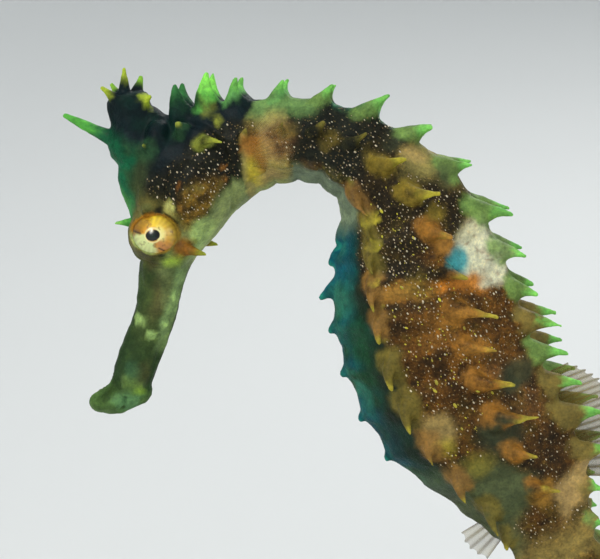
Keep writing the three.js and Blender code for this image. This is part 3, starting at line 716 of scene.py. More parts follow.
# %% Mouth, gill slits, nostrils and eyelids, on each side
MOUTH_SLIT = [(0.15, 0, 1.0), (0.15, 0.9, 0.9), (0.15, 1.25, 0.55), (1.0, 1.5, 0.3)]
GILL_SLIT = [(26.6, 2.2, 5.6), (28.0, 3.6, 3.8), (28.6, 4.2, 1.4), (28.1, 4.1, -1.2), (26.4, 3.2, -3.4),
             (24.2, 1.6, -4.3)]
NOSTRIL_AT = 16.3
LID_FOLDS = [(0.1, 2.95, 0.12), (0.07, 3.35, 0.14)]  # depth, distance from the eye's centre, width
points = mesh_points(skin.data)
normals = mesh_normals(skin.data)
distance, angle, out, up = body_measures(points)
lid = np.hypot(points[:, 0] - EYE[0], points[:, 2] - EYE[2])
push = 0.09 * lumps(points, 1.6, 1) + 0.05 * lumps(points, 0.7, 2) + 0.02 * lumps(points, 0.4, 18)
for side in (1, -1):
    near = np.sign(points[:, 1]) == side
    push -= 0.42 * groove(path_gap(points, side_path(MOUTH_SLIT, side)), 0.2)
    push -= near * 0.38 * groove(path_gap(points, side_path(GILL_SLIT, side)), 0.32)
    for spread in (-0.16, 0.16):
        nostril = place(NOSTRIL_AT, side * 1.35, 2.35) + spread * axes_at(NOSTRIL_AT)[0] * 1.6
        push -= 0.3 * groove(np.linalg.norm(points - nostril, axis=1), 0.17)
    on_lid = near * (np.abs(points[:, 1]) > 2.6) * (distance < EYES_TO)
    for depth, fold_at, width in LID_FOLDS:
        push -= on_lid * depth * groove(lid - fold_at, width)
    ribs = np.sin(np.arctan2(up - 0.4, distance - 20.2) * 13 + 0.6 * lumps(points, 2.0, 3))
    cover = np.hypot((distance - 23.8) / 4.0, (up - 0.2) / 3.1)
    push += near * 0.055 * ribs * (1 - smoothstep(cover, 0.7, 1.05)) * smoothstep(cover, 0.15, 0.4)
print(f"mouth, gill slits, nostrils and lids on {len(points)} points")

# %% The neck's folds, the seams between rings and the snout's throat line
neck_fold = smoothstep(distance, 28.5, 31) * (1 - smoothstep(distance, 42, 46))
neck_fold = neck_fold * smoothstep(angle, 115, 150)
push -= 0.1 * neck_fold * groove(nearest_ring(distance)[1] - 1.6, 0.35)
seam_depth = 0.05 * band(distance, 36, 82, 3) + 0.13 * smoothstep(distance, 80, 90)
push -= seam_depth * ring_seam(distance, 0.1)
snout_line = (1 - smoothstep(distance, 12, 15)) * smoothstep(distance, 2.5, 4)
push -= 0.09 * snout_line * groove(angle - 152, 7)
print(f"seams between rings up to {seam_depth.max():.2f} mm deep")

# %% The snout set nearer to the brow, and the upper lip flared
BROW_LIFT = ((0, 10, 13.5, 15, 16.3), (0.15, 0.3, 0.55, 0.45, 0))  # distances, how far each moves
THROAT_LIFT = ((0, 10, 13.5, 16.5, 21), (0.15, 0.3, 0.55, 0.5, 0))
brow_lift = np.interp(distance, *BROW_LIFT)
brow_lift *= 1 - smoothstep(np.abs(out), 1.8, 2.3)
throat_lift = np.interp(distance, *THROAT_LIFT)
throat_lift *= smoothstep(lid, 3.6, 4.6) * (1 - smoothstep(np.abs(out), 2.0, 3.2))
for thorn in THORNS:  # a cheek thorn keeps its thickness
    if thorn["kind"] == "cheek":
        axis = np.stack([thorn["root"], thorn["tip"]])
        throat_lift *= smoothstep(path_gap(points, axis), 1.1, 2.0)
backward = up / np.maximum(np.hypot(out, up), 1.0)  # how much a normal there faces the brow
push += np.where(up > 0, brow_lift, throat_lift) * backward
upper_lip = smoothstep(up, 0.2, 1.5)
push += upper_lip * (0.5 * groove(distance - 0.7, 0.6) - 0.8 * groove(distance - 2.2, 0.75))
points = points + push[:, None] * normals
skin.data.vertices.foreach_set("co", points.ravel())
skin.data.update()
print(f"points moved by {push.min():.2f} to {push.max():.2f} mm")

# %% Thinning to a size that can be passed on
SKIN_FACES = 194000
skin.data.calc_loop_triangles()
thin = skin.modifiers.new("thin", "DECIMATE")
thin.ratio = min(1.0, SKIN_FACES / len(skin.data.loop_triangles))
thin.use_collapse_triangulate = True
applied(skin)
skin.data.shade_smooth()
print(f"skin: {len(skin.data.polygons)} triangles")

# %% [markdown]
# ## Painting the skin
#
# A wild seahorse's markings are layers: a brown ground, pale saddles over the back, then the coloured
# thorns. Between ground and thorns also goes a blue-green belly, which is painted shade with the
# water's colour reflected in it. An airbrush works in the same order. Each layer below is a colour and
# a mask from the body measures, with its edge broken by noise, and the result is kept as a colour on
# each point. Thorn by thorn colour could not be had from noise alone.

# %% Paints
PAINTS = {
    # the brown ground
    "ground": "#2a2211", "dark_ground": "#19150c", "warm_ground": "#6e4816",
    "gold_ground": "#564a19", "back_warm": "#7c5832",
    # snout and lips; their green is partly painted blue-green water light
    "snout": "#41522a", "snout_low": "#263f20", "snout_edge": "#82a066", "snout_spot": "#a4c878",
    "snout_brown": "#5c5634", "snout_teal": "#426a48", "lips": "#587a3e", "lip_dark": "#2a4218",
    "lip_pale": "#5e8c5c", "lip_lime": "#7ca22e", "lip_green": "#a6c650",
    # head and throat
    "crown": "#05171d", "crown_green": "#0c2c22", "forehead": "#3a4829", "forehead_edge_reflection": "#0c5c3c",
    "gill_cover": "#14170f", "beige": "#6a6432", "beige_pale": "#c6ca7a", "brow_ring": "#2c5232",
    "fringe": "#6f581f", "throat": "#86965f", "throat_pale": "#a6c478", "rim_top": "#9a6c20",
    "rim_right": "#947a2a", "rim_low": "#97a560",
    # saddle and neck
    "saddle": "#958d52", "saddle_green": "#64884e", "saddle_pink": "#8f6e45",
    "saddle_orange": "#8c5c22", "saddle_red": "#4c3322", "shoulder": "#b8ab34", "neck": "#191d17",
    "neck_green": "#2e7c56", "arch": "#71836a",
    # belly: painted shade, with the water's blue-green reflected in it
    "belly": "#05403f", "belly_blue_reflection": "#035668", "belly_green_shade": "#17462a", "belly_deep_shade": "#152316",
    "belly_bright_reflection": "#2a7060", "underside": "#475941", "keel_water_reflection": "#1f7f74",
    # patches and bands
    "peach": "#938a50", "peach_pale": "#b39862", "white": "#cfd0b4", "vein": "#8f7058",
    "blue": "#46a0a8", "band": "#b0732a", "band_tan": "#8c7236", "band_bright": "#cc8430",
    "grey_green": "#39422f", "sage": "#4c573a", "low_olive": "#6e6a2c", "low_orange": "#9c7530",
    "beige_low": "#958250", "tail": "#57451f", "tail_pale": "#94834a",
    # head thorns; their bright greens are partly painted blue-green water light
    "nose_thorn": "#4fa044", "nose_tip": "#86c860", "cheek": "#7a4f16", "cheek_tip": "#98a234",
    "gill_streak": "#84903a", "gill_thorn": "#a8b23e", "brow_thorn": "#4a5a34",
    "dark_tip": "#14150e", "nape_thorn": "#68c052", "nape_dim": "#102e26", "nape_low": "#3c8446",
    "nape_tip": "#84dc5c", "frond_foot": "#1c5a3a", "frond": "#56ac46", "coronet_tip": "#82b83a",
    "coronet_pale": "#a9bf3a",
    # body thorns; the green of the upper thorns is partly painted blue-green water light
    "neck_thorn": "#76702f", "saddle_thorn": "#66a85c", "upper_thorn": "#6c8e4a",
    "upper_warm": "#766a36", "upper_tip": "#76c25c", "side_thorn": "#94682a",
    "side_bright": "#ac7c36", "side_tip": "#a39a3a", "side_olive": "#80702a",
    "side_olive_tip": "#a39c34", "lower_thorn": "#6f652c", "lower_warm": "#866634",
    "lower_tip": "#a39a34",
}


def linear(code):
    """A screen colour as the light it stands for."""
    parts = np.array([int(code[i:i + 2], 16) for i in (1, 3, 5)]) / 255
    return np.where(parts <= 0.04045, parts / 12.92, ((parts + 0.055) / 1.055) ** 2.4)


PAINTS = {name: linear(code) for name, code in PAINTS.items()}

# %% Masks in body measures
points = mesh_points(skin.data)
distance, angle, out, up = body_measures(points)
reach = np.hypot(out, up)
left = points[:, 1] < 0
at = distance + 0.45 * lumps(points, 2.2, 4) + 0.25 * lumps(points, 0.8, 5)
waver = 0.5 * lumps(points, 2.4, 6) + 0.28 * lumps(points, 0.9, 7)
turn = angle + np.degrees(waver / np.maximum(reach, 1.5))
coat = np.tile(PAINTS["ground"], (len(points), 1))
bare = np.ones(len(points))  # how much of the dotted ground still shows at each point
DOTTED = ("dark_ground", "warm_ground", "gold_ground", "back_warm", "neck", "gill_cover", "band",
          "tail", "saddle_red", "fringe")


def paint(colour, mask):
    """One more layer, over all the layers before it."""
    mask = np.clip(mask, 0, 1)
    coat[:] += mask[:, None] * (PAINTS[colour] - coat)
    bare[:] += mask * ((colour in DOTTED) - bare)


def spot(centre_at, centre_turn, along_r, round_r, soft=0.3):
    """A patch on the body, its two radii in millimetres."""
    across = np.radians(turn - centre_turn) * np.maximum(reach, 1)
    gap = np.hypot((at - centre_at) / along_r, across / round_r)
    return 1 - smoothstep(gap, 1 - soft, 1 + soft)


def paint_spots(rows, within=1):
    """Rows of colour, share, place along and round, radius along and round, and softness."""
    for colour, share, *patch in rows:
        paint(colour, share * within * spot(*patch))


# %% The ground, the belly and the saddles
blotch = lumps(points, 3.0, 8) + 0.5 * lumps(points, 1.3, 9)
small_blotch = lumps(points, 1.1, 15) + 0.6 * lumps(points, 0.5, 16)
warm = smoothstep(at, 54, 60) * (0.5 + 0.4 * smoothstep(blotch, -0.5, 0.4))
paint("warm_ground", warm * (1 - 0.45 * smoothstep(at, 65, 71)))
paint("gold_ground", 0.5 * smoothstep(small_blotch, 0.1, 0.9))
paint("dark_ground", (0.7 - 0.1 * smoothstep(at, 54, 60)) * smoothstep(blotch, 0.0, 0.55))
paint("dark_ground", 0.7 * smoothstep(-small_blotch, 0.1, 0.8))
paint_spots([
    ("dark_ground", 0.6, 47.2, 104, 2.2, 2.4, 0.5),
    ("dark_ground", 0.45, 76.4, 47, 2.2, 2.2, 0.5),
    ("dark_ground", 0.35, 59.2, 127, 1.0, 1.0, 0.5),
    ("back_warm", 0.35, 70.8, 40, 1.7, 1.6, 0.5),
    ("back_warm", 0.45, 66.2, 58, 1.2, 1.2, 0.5),
    ("side_thorn", 0.3, 59.4, 88, 2.0, 2.2, 0.5),
])
paint("neck", band(at, 33.5, 42.5, 1.4) * (1 - 0.25 * smoothstep(blotch, 0, 0.6)))
paint("neck_green", band(at, 34.5, 47, 2) * (1 - smoothstep(turn, 12, 34))
      * smoothstep(small_blotch, -0.5, 0.3))
# The belly's colours are painted shade: dark blue-green with the water's colour reflected in it, darker
# along its upper edge and in patches, and brighter towards the keel.
belly_edge = np.interp(distance, [40, 47, 55, 60, 65, 75, 80], [158, 150, 150, 138, 135, 147, 165])
on_shaded_belly = smoothstep(turn, belly_edge - 7, belly_edge + 7) * band(at, 43, 76, 1.5)
paint("belly", on_shaded_belly)
paint("belly_green_shade", on_shaded_belly * (0.35 + 0.6 * smoothstep(blotch, -0.3, 0.5)) * smoothstep(at, 52, 57))
paint("belly_blue_reflection", on_shaded_belly * smoothstep(-blotch, -0.5, 0.4) * smoothstep(turn, 152, 172))
paint("belly_bright_reflection", 0.7 * on_shaded_belly * smoothstep(turn, 160, 176) * smoothstep(small_blotch, -0.2, 0.6))
paint("belly_deep_shade", 0.9 * smoothstep(at, 50, 53) * band(at, 45, 76, 1.5)
      * groove(turn - belly_edge - 5, 12) * smoothstep(blotch, -0.7, 0.1))
paint_spots([
    ("belly_deep_shade", 0.75, 68.5, 160, 3.0, 3.2, 0.5),
    ("belly_bright_reflection", 0.7, 55.2, 168, 1.9, 1.6, 0.5),
    ("belly_green_shade", 0.85, 59.4, 160, 2.0, 1.7, 0.5),
    ("belly_bright_reflection", 0.7, 64.2, 170, 1.6, 0.8, 0.5),
    ("belly_deep_shade", 0.85, 65.2, 146, 2.2, 1.4, 0.5),
], within=on_shaded_belly)
paint("arch", smoothstep(turn, 122, 140) * band(at, 31.5, 46.5, 1.6))
paint("underside", smoothstep(turn, 108, 150) * band(at, 72.5, 84, 1.5) * 0.85)
boundary = 32.4 - 0.031 * turn
paint("saddle", band(at, boundary, 34.4 + 0.8 * blotch, 0.35))
paint("saddle_green", band(at, boundary - 0.4, 36.6, 0.7) * (1 - smoothstep(turn, 30, 58)))
paint("saddle_pink", 0.8 * band(at, 31.8, 34.8, 0.6) * band(turn, 60, 118, 14))
paint("saddle_orange", 0.9 * spot(30.7, 92, 1.0, 1.7, 0.5))
paint("saddle_orange", 0.7 * spot(31.4, 72, 0.7, 1.0, 0.5))
paint("saddle_red", 0.8 * spot(34.1, 88, 1.2, 1.9, 0.5) * smoothstep(small_blotch, -0.9, 0.1))
paint_spots([
    ("saddle_red", 0.65, 30.9, 58, 0.6, 1.0, 0.5),
    ("saddle_orange", 0.55, 31.2, 116, 0.8, 0.9, 0.5),
    ("shoulder", 0.95, 30.1, 132, 0.9, 1.7, 0.5),
    ("peach_pale", 0.5, 31.4, 148, 1.5, 1.1, 0.6),
])
paint("throat", 0.8 * smoothstep(turn, 154, 168) * band(at, 28.6, 34, 1.0))
print(f"dotted ground left after the belly and saddles: {bare.mean():.0%}")

# %% The patches of the trunk
paint_spots([
    ("grey_green", 0.6, 42.9, 36, 0.9, 1.2, 0.5),
    ("peach", 0.9, 45.8, 29, 1.7, 2.4, 0.5),
    ("side_olive", 0.4, 42.6, 66, 1.0, 1.0, 0.5),
    ("side_olive", 0.5, 38.4, 73, 0.8, 0.9, 0.6),
    ("warm_ground", 0.4, 52.8, 78, 1.0, 1.3, 0.5),
    ("lower_thorn", 0.6, 46.6, 124, 0.9, 0.8, 0.5),
    ("peach_pale", 0.55, 44.9, 36, 0.8, 0.8, 0.6),
    ("upper_warm", 0.6, 47.4, 16, 1.6, 1.8, 0.5),
])
orange_line = np.interp(turn, [40, 71, 116, 135], [57.2, 56.1, 55.4, 55.2])
half_band = 0.85 - 0.3 * groove(turn - 84, 22)
paint("band", 0.95 * band(at - orange_line, -half_band, half_band, 0.45) * band(turn, 40, 132, 8))
paint("band_tan", 0.7 * band(at - orange_line, -half_band, half_band, 0.45) * band(turn, 88, 132, 10))
paint("white", np.where(left, spot(54.3, 33, 3.0, 3.0, 0.2), spot(53.6, 20, 2.4, 2.2, 0.25)))
paint("peach", 0.25 * left * spot(51.8, 36, 1.1, 1.5, 0.5))
paint("white", 0.6 * left * spot(56.4, 30, 1.0, 1.4, 0.5))
veins = np.abs(lumps(points, 0.9, 10) + 0.5 * lumps(points, 0.45, 11))
paint("vein", 0.5 * (1 - smoothstep(veins, 0.02, 0.12)) * spot(54.1, 33, 3.2, 3.0, 0.3))
paint_spots([
    ("grey_green", 0.8, 71.8, 72, 2.2, 2.3, 0.4),
    ("grey_green", 0.8, 67.2, 38, 1.7, 1.9, 0.4),
    ("beige_low", 0.85, 69.0, 122, 1.6, 1.5, 0.5),
    ("shoulder", 0.55, 70.5, 124, 0.7, 0.9, 0.6),
    ("sage", 0.95, 76.9, 112, 3.3, 4.0, 0.35),
])
paint("sage", 0.8 * smoothstep(turn, 100, 130) * band(at, 75.5, 84, 1.0))
paint("low_olive", 0.8 * spot(73.6, 108, 1.2, 1.5, 0.5))
paint("low_orange", 0.8 * spot(79.4, 62, 1.3, 1.4, 0.5))
paint("peach_pale", 0.85 * band(at, 79.6, 83.0, 0.6) * (1 - smoothstep(turn, 44, 62)))
print(f"dotted ground left after the trunk: {bare.mean():.0%}")

# %% The tail, banded every few rings
on_tail = smoothstep(at, 82, 86)
paint("tail", on_tail)
tail_ring = np.interp(distance, RINGS, np.arange(len(RINGS)))
bands = np.sin((tail_ring - TRUNK_RINGS) * 2 * np.pi / 5.5 + 0.9 + 0.5 * blotch)
paint("tail_pale", 0.8 * on_tail * smoothstep(bands, 0.25, 0.75))
paint("dark_ground", 0.75 * on_tail * smoothstep(-bands, 0.45, 0.85))
paint("underside", 0.55 * on_tail * smoothstep(turn, 125, 165) * (1 - smoothstep(at, 110, 135)))
paint("upper_thorn", 0.4 * on_tail * smoothstep(-turn, -40, -15))
paint("dark_ground", 0.35 * on_tail * ring_seam(distance, 0.12))
print(f"dotted ground left after the tail: {bare.mean():.0%}")

# %% The head
on_head = 1 - smoothstep(at - boundary, -0.35, 0.15)
paint("forehead", on_head)
paint("gill_cover", on_head * smoothstep(at, 19.8, 22.0) * (1 - smoothstep(turn, 114, 134)))
paint("crown", on_head * smoothstep(at, 22.0, 24.0) * (1 - smoothstep(turn, 40, 58)))
crown_top = on_head * smoothstep(at, 21.2, 23.2) * (1 - smoothstep(turn, 24, 40))
paint("crown_green", 0.5 * crown_top * smoothstep(blotch, -0.2, 0.7))
paint("beige", 0.85 * on_head * (1 - smoothstep(at, 20.6, 22.2)) * band(turn, 30, 84, 9))
paint("beige_pale", 0.9 * spot(21.1, 74, 0.85, 0.6, 0.6))
# A blue-green band along the top edge of the head is painted reflection: the water's colour along the
# brow.
edge_reflection = on_head * band(at, 16.8, 23.4, 0.8) * (1 - smoothstep(turn, 16, 30))
paint("forehead_edge_reflection", edge_reflection)
paint("forehead", 0.5 * edge_reflection * smoothstep(small_blotch, 0.1, 0.8))
paint("crown_green", 0.5 * edge_reflection * smoothstep(-blotch, 0.2, 0.9))
paint("forehead", 0.7 * spot(22.0, 31, 1.6, 1.0, 0.5))
fringe = np.clip(spot(22.2, 102, 2.4, 1.3, 0.5) + spot(24.2, 110, 1.9, 0.8, 0.5), 0, 1)
paint("fringe", 0.95 * on_head * fringe)
paint("dark_ground", 0.75 * on_head * fringe * smoothstep(small_blotch, 0.0, 0.6))
paint("beige", 0.7 * on_head * fringe * smoothstep(-small_blotch, 0.2, 0.8))
paint("low_orange", 0.6 * spot(21.9, 88, 0.4, 0.3, 0.5))
paint("throat", on_head * smoothstep(turn, 116, 134) * smoothstep(at, 14.5, 17))
paint("throat_pale", 0.85 * on_head * spot(19.2, 132, 2.4, 1.8, 0.5))
paint("gill_streak", 0.45 * on_head * spot(28.6, 24, 0.45, 0.7, 0.6))
paint("gill_thorn", 0.6 * on_head * spot(28.9, 42, 0.25, 0.6, 0.6))
GILL_FLECKS = [(26.4, 110), (27.3, 98), (23.4, 78)]
paint_spots([("saddle_orange", 0.75, *fleck, 0.28, 0.2, 0.5) for fleck in GILL_FLECKS])
print(f"dotted ground left after the head: {bare.mean():.0%}")

# %% The snout
on_snout = 1 - smoothstep(at, 14.0, 16.8)
paint("snout", on_snout)
paint("snout_low", 0.9 * on_snout * (1 - smoothstep(at, 4, 11)))
paint("snout_brown", 0.7 * on_snout * spot(12.8, 96, 2.8, 1.0, 0.6))
paint("snout_edge", 0.85 * on_snout * smoothstep(turn, 112, 136) * (1 - smoothstep(turn, 160, 176))
      * smoothstep(at, 6, 9))
paint_spots([
    ("lip_green", 0.85, 16.6, 100, 1.0, 0.6, 0.6),
    ("throat", 0.5, 15.0, 90, 1.0, 0.9, 0.6),
    ("snout_edge", 0.3, 13.4, 116, 2.0, 0.8, 0.6),
    ("snout_brown", 0.8, 15.6, 66, 0.9, 0.8, 0.6),
])
paint("snout_low", 0.6 * on_snout * (1 - smoothstep(turn, 25, 60)))
paint("snout_low", 0.5 * on_snout * smoothstep(blotch, 0.0, 0.7))
SNOUT_SPOTS = [(9.2, 46, 0.38, 0.75), (8.3, 92, 0.34, 0.6), (9.2, 145, 0.3, 0.42),
               (12.4, 140, 0.45, 0.25)]
paint_spots([("snout_spot", 0.9, *patch, 0.35) for patch in SNOUT_SPOTS])
paint("snout_brown", 0.35 * spot(4.1, 132, 1.5, 0.8, 0.6))
paint("snout_teal", 0.6 * spot(4.0, 94, 1.1, 0.8, 0.6))
paint("lips", 0.7 * (1 - smoothstep(at, 0.9, 2.6)))
paint("lip_pale", 0.85 * band(turn, 48, 150, 14) * (1 - smoothstep(at, 0.9, 2.0)))
paint("lip_lime", 0.6 * spot(1.9, 142, 0.6, 0.6, 0.6))
paint("snout_edge", 0.22 * band(at, 1.8, 3.2, 0.5) * band(turn, 66, 152, 12))
paint("lip_lime", 0.16 * spot(2.5, 104, 0.7, 1.0, 0.7))
paint("lip_dark", 0.8 * spot(1.5, 31, 0.55, 0.6, 0.5))
print(f"dotted ground left after the snout: {bare.mean():.0%}")

# %% [markdown]
# ## Painting the thorns
#
# Each thorn has a coloured foot that spreads over the skin, and a brighter tip. A mask by place
# on the body would miss the way it leans, so each is painted from its own root and tip. One table
# gives the colours of each kind, and a second says where along the body they differ.

# %% Thorn colours
THORN_PAINTS = {  # foot, tip, how far up the tip's colour starts
    "upper": ("upper_thorn", "upper_tip", 0.35), "side": ("side_thorn", "side_tip", 0.45),
    # the keel thorns carry the belly's painted shade and reflected water light
    "lower": ("lower_thorn", "lower_tip", 0.55), "keel": ("belly_blue_reflection", "keel_water_reflection", 0.4),
    "nose": ("nose_thorn", "nose_tip", 0.5), "brow": ("brow_thorn", "dark_tip", 0.75),
    "cheek": ("cheek", "cheek_tip", 0.45), "crown": ("brow_ring", "gill_streak", 0.5),
    "gill": ("gill_streak", "gill_thorn", 0.3), "nape": ("nape_thorn", "nape_tip", 0.3),
    "coronet": ("crown", "coronet_tip", 0.35), "frond": ("frond_foot", "frond", 0.25),
}
PLAIN_THORN = {"patch": 1.15, "varies": 0.2, "foot_share": 0.88}
EVERYWHERE = (0, TAIL_TIP + 1)
THORN_CHANGES = [  # kinds, from and to along the body, and what differs there; later rows win
    ("side lower", (0, 41), {"foot": "neck_thorn", "tip": "neck_thorn", "patch": 0.55, "varies": 0,
                             "foot_share": 0.2}),
    ("side", (41, 49), {"foot": "side_olive", "tip": "side_olive_tip", "tip_from": 0.35,
                        "patch": 0.9, "varies": 0}),
    ("side", (53, 57), {"patch": 0.6, "varies": 0}),
    ("side", (57, TAIL_TIP), {"patch": 0.78, "varies": 0.12}),
    ("upper", (0, 46), {"patch": 0.8, "varies": 0}),
    ("upper", (0, 35), {"foot": "saddle_thorn", "patch": 0.65}),
    ("lower", (0, 53), {"patch": 0.9, "varies": 0, "tip_from": 0.75}),
    ("cheek nape", EVERYWHERE, {"patch": 0.75, "varies": 0}),
    ("nape", (0, 28), {"foot": "nape_dim", "tip": "nape_low"}),
    ("gill", EVERYWHERE, {"patch": 0.95, "varies": 0, "foot_share": 0.8}),
    ("crown", EVERYWHERE, {"foot_share": 0.6}),
    ("keel", EVERYWHERE, {"foot_share": 0.35}),
]


def thorn_look(number, thorn):
    """The colours of one thorn, how wide its foot's patch is and how strong."""
    foot, tip, tip_from = THORN_PAINTS[thorn["kind"]]
    look = {**PLAIN_THORN, "foot": foot, "tip": tip, "tip_from": tip_from}
    for kinds, (start, end), change in THORN_CHANGES:
        if thorn["kind"] in kinds.split() and start <= thorn["at"] < end:
            look.update(change)
    if thorn["kind"] == "coronet" and number % 2:
        look["tip"] = "coronet_pale"
    if thorn["kind"] == "upper" and thorn["at"] > 62 and number % 3:
        look["foot"] = "upper_warm"
    if thorn["kind"] == "lower" and number % 4 < 2:
        look["foot"] = "lower_warm"
    return look


# %% Each thorn painted from its root to its tip
rough_edge = 0.2 * lumps(points, 0.9, 13) + 0.16 * lumps(points, 0.4, 17)
for number, thorn in enumerate(THORNS):
    look = thorn_look(number, thorn)
    patch = look["patch"] + look["varies"] * math.sin(3.7 * number)
    shaft = thorn["tip"] - thorn["root"]
    length = np.linalg.norm(shaft)
    gap = np.linalg.norm(points - thorn["root"] - shaft / 2, axis=1)
    close = np.flatnonzero(gap < length + 1.8)
    arm = points[close] - thorn["root"]
    height = arm @ shaft / length**2
    along, _ = axes_at(thorn["at"])
    ahead = np.clip(-(arm @ along), 0, 1.5)  # a foot's colour runs on a little towards the head
    gap = np.linalg.norm(arm - np.clip(height, 0, 1)[:, None] * shaft, axis=1) - 0.45 * ahead
    spread = gap / (thorn["radius"] * patch)
    on_foot = (1 - smoothstep(spread + rough_edge[close], 0.6, 1.15)) * look["foot_share"]
    on_tip = smoothstep(height + 0.8 * rough_edge[close], look["tip_from"], look["tip_from"] + 0.4)
    on_tip = on_tip * (gap < thorn["radius"])
    for colour, mask in ((look["foot"], on_foot), (look["tip"], on_tip)):
        whole = np.zeros(len(points))
        whole[close] = mask
        paint(colour, whole)
print(f"painted {len(THORNS)} thorns of {len(THORN_PAINTS)} kinds")

# %% Small patches over the thorns' feet, which set the tone of single plates
paint_spots([
    ("side_olive", 0.8, 49.3, 62, 0.8, 1.1, 0.5),
    ("side_bright", 0.85, 52.0, 66, 0.9, 1.0, 0.5),
    ("band_bright", 0.95, 56.3, 53, 0.75, 1.8, 0.5),
    ("lower_thorn", 0.7, 52.3, 130, 0.9, 0.9, 0.5),
    ("dark_ground", 0.6, 42.1, 48, 0.8, 1.0, 0.5),
    ("grey_green", 0.7, 47.3, 29, 0.8, 0.9, 0.5),
    ("dark_ground", 0.6, 42.6, 58, 0.6, 0.6, 0.5),
])
paint("nape_dim", 0.7 * spot(27.5, 14, 0.8, 0.9, 0.5) * (1 - smoothstep(up, 7.6, 8.6)))
paint_spots([
    ("gold_ground", 0.6, 31.3, 57, 0.8, 0.8, 0.5),
    ("lower_thorn", 0.5, 34.7, 73, 0.8, 0.9, 0.5),
    ("saddle_orange", 0.35, 31.4, 119, 0.7, 0.7, 0.5),
    ("lower_thorn", 0.35, 55.1, 101, 0.8, 1.0, 0.5),
    ("warm_ground", 0.3, 56.5, 52, 0.9, 1.0, 0.5),
    ("side_bright", 0.65, 59.1, 70, 0.9, 1.6, 0.5),
    ("side_bright", 0.6, 62.6, 64, 1.0, 1.4, 0.5),
    ("ground", 0.4, 57.2, 119, 0.7, 0.9, 0.5),
    ("dark_ground", 0.5, 25.0, 90, 0.6, 0.7, 0.5),
    ("gold_ground", 0.5, 55.8, 97, 0.9, 1.3, 0.5),
    ("belly_deep_shade", 0.75, 66.7, 149, 1.0, 1.0, 0.5),
    ("peach_pale", 0.8, 80.2, 25, 1.1, 1.3, 0.5),
    ("lip_green", 0.95, 16.5, 106, 1.0, 0.75, 0.6),
    ("nose_thorn", 0.5, 19.4, 10, 1.3, 1.0, 0.6),
])
paint("blue", 0.95 * left * spot(53.9, 58, 1.2, 1.25, 0.4))
print(f"painted {len(points)} points")

# %% Round the eyes, whose colours run on over their rims
eye_up = (points[:, 2] - EYE[2] - LID_LIFT) / (EYE_SQUASH - LID_SQUASH)
eye_gap = np.hypot(points[:, 0] - EYE[0], eye_up)
eye_way = np.degrees(np.arctan2(points[:, 2] - EYE[2], points[:, 0] - EYE[0]))
by_eye = (np.abs(points[:, 1]) > 1.8) * (distance < EYES_TO)
on_rim = by_eye * (np.abs(points[:, 1]) > 2.7) * (1 - smoothstep(eye_gap + rough_edge, 2.35, 2.6))
on_turret = 1 - smoothstep(eye_gap, 3.0, 3.7)
paint("beige", 0.5 * by_eye * on_turret * smoothstep(eye_way, -60, 10))
paint("throat", 0.7 * by_eye * on_turret * band(eye_way, -60, 20, 20))
paint("rim_right", on_rim)
paint("rim_top", on_rim * band(eye_way, 60, 170, 15))
low_rim = np.maximum(smoothstep(eye_way, 165, 180), 1 - smoothstep(eye_way, -95, -75))
paint("rim_low", on_rim * low_rim)
# A dark line along the eye's upper rim, towards the tail, is painted shadow under the lid.
paint("dark_tip", 0.85 * by_eye * groove(eye_gap - 2.5, 0.17) * band(eye_way, 15, 110, 20))
paint("dark_tip", 0.9 * spot(20.65, 60, 0.42, 0.36, 0.5))
paint("fringe", 0.6 * spot(20.2, 104, 0.9, 0.9, 0.5) * (1 - on_rim))
beside = points - EYE * [1, 0, 1]
beside[:, 1] = 0
LID_LINES = [((0.5, -1.72), (1.1, -2.0), 0.15), ((-1.2, -1.7), (-1.0, -1.9), 0.14)]
for start, end, width in LID_LINES:
    ends = [np.array([x, 0, z]) for x, z in (start, end)]
    paint("dark_tip", 0.85 * by_eye * groove(path_gap(beside, ends), width))
paint("snout_low", 0.6 * by_eye * groove(np.linalg.norm(beside - [-0.3, 0, -2.4], axis=1), 0.35))
paint("cheek", 0.95 * by_eye * spot(17.7, 110, 1.1, 0.95, 0.5) * (1 - on_rim))
print(f"{np.count_nonzero(on_rim > 0.5)} points on the eyes' rims")

# %% The colours go on the mesh
def add_colours(piece, name, colours, fourth=1.0):
    """A colour on each point. The fourth number is free for any other mask."""
    rows = np.column_stack([colours, np.broadcast_to(fourth, len(colours))])
    layer = piece.data.color_attributes.new(name, "FLOAT_COLOR", "POINT")
    layer.data.foreach_set("color", rows.ravel())


coat = np.clip(coat * (1 + 0.1 * lumps(points, 0.5, 14))[:, None], 0, 1)
add_colours(skin, "coat", coat, np.clip(bare, 0, 1))
skin_faces = [tuple(face.vertices) for face in skin.data.polygons]
skin_tree = BVHTree.FromPolygons(points.tolist(), skin_faces)
skin.data.transform(Matrix.Scale(MM, 4))
FLESH = ["snout", "head", "coronet", "neck", "trunk_upper", "trunk_middle", "trunk_lower",
         "tail_base", "tail_upper", "tail_lower", "tail_bend", "tail_curl_outer", "tail_curl_top",
         "tail_curl_inner", "tail_tip"]


def ready(piece, slot, *nodes):
    """Sets a finished piece on the model's one body, in place of the solids it stands for."""
    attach(piece, "root")
    if nodes:
        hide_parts(*nodes)
    return piece


ready(skin, "skin", *FLESH)

# %% [markdown]
# ## The skin's finish
#
# Live skin on a seahorse is slimy and finely grained. The painted colour goes into the shader,
# where noise at several sizes breaks it up: cloudy patches, a coarse and a fine mottle, dark
# pores and pale freckles. The mottle, the pores and a fine grain also feed a bump, and the grain
# makes the wet shine uneven. A little light passes under the surface, most of all in the thin
# snout and thorns.

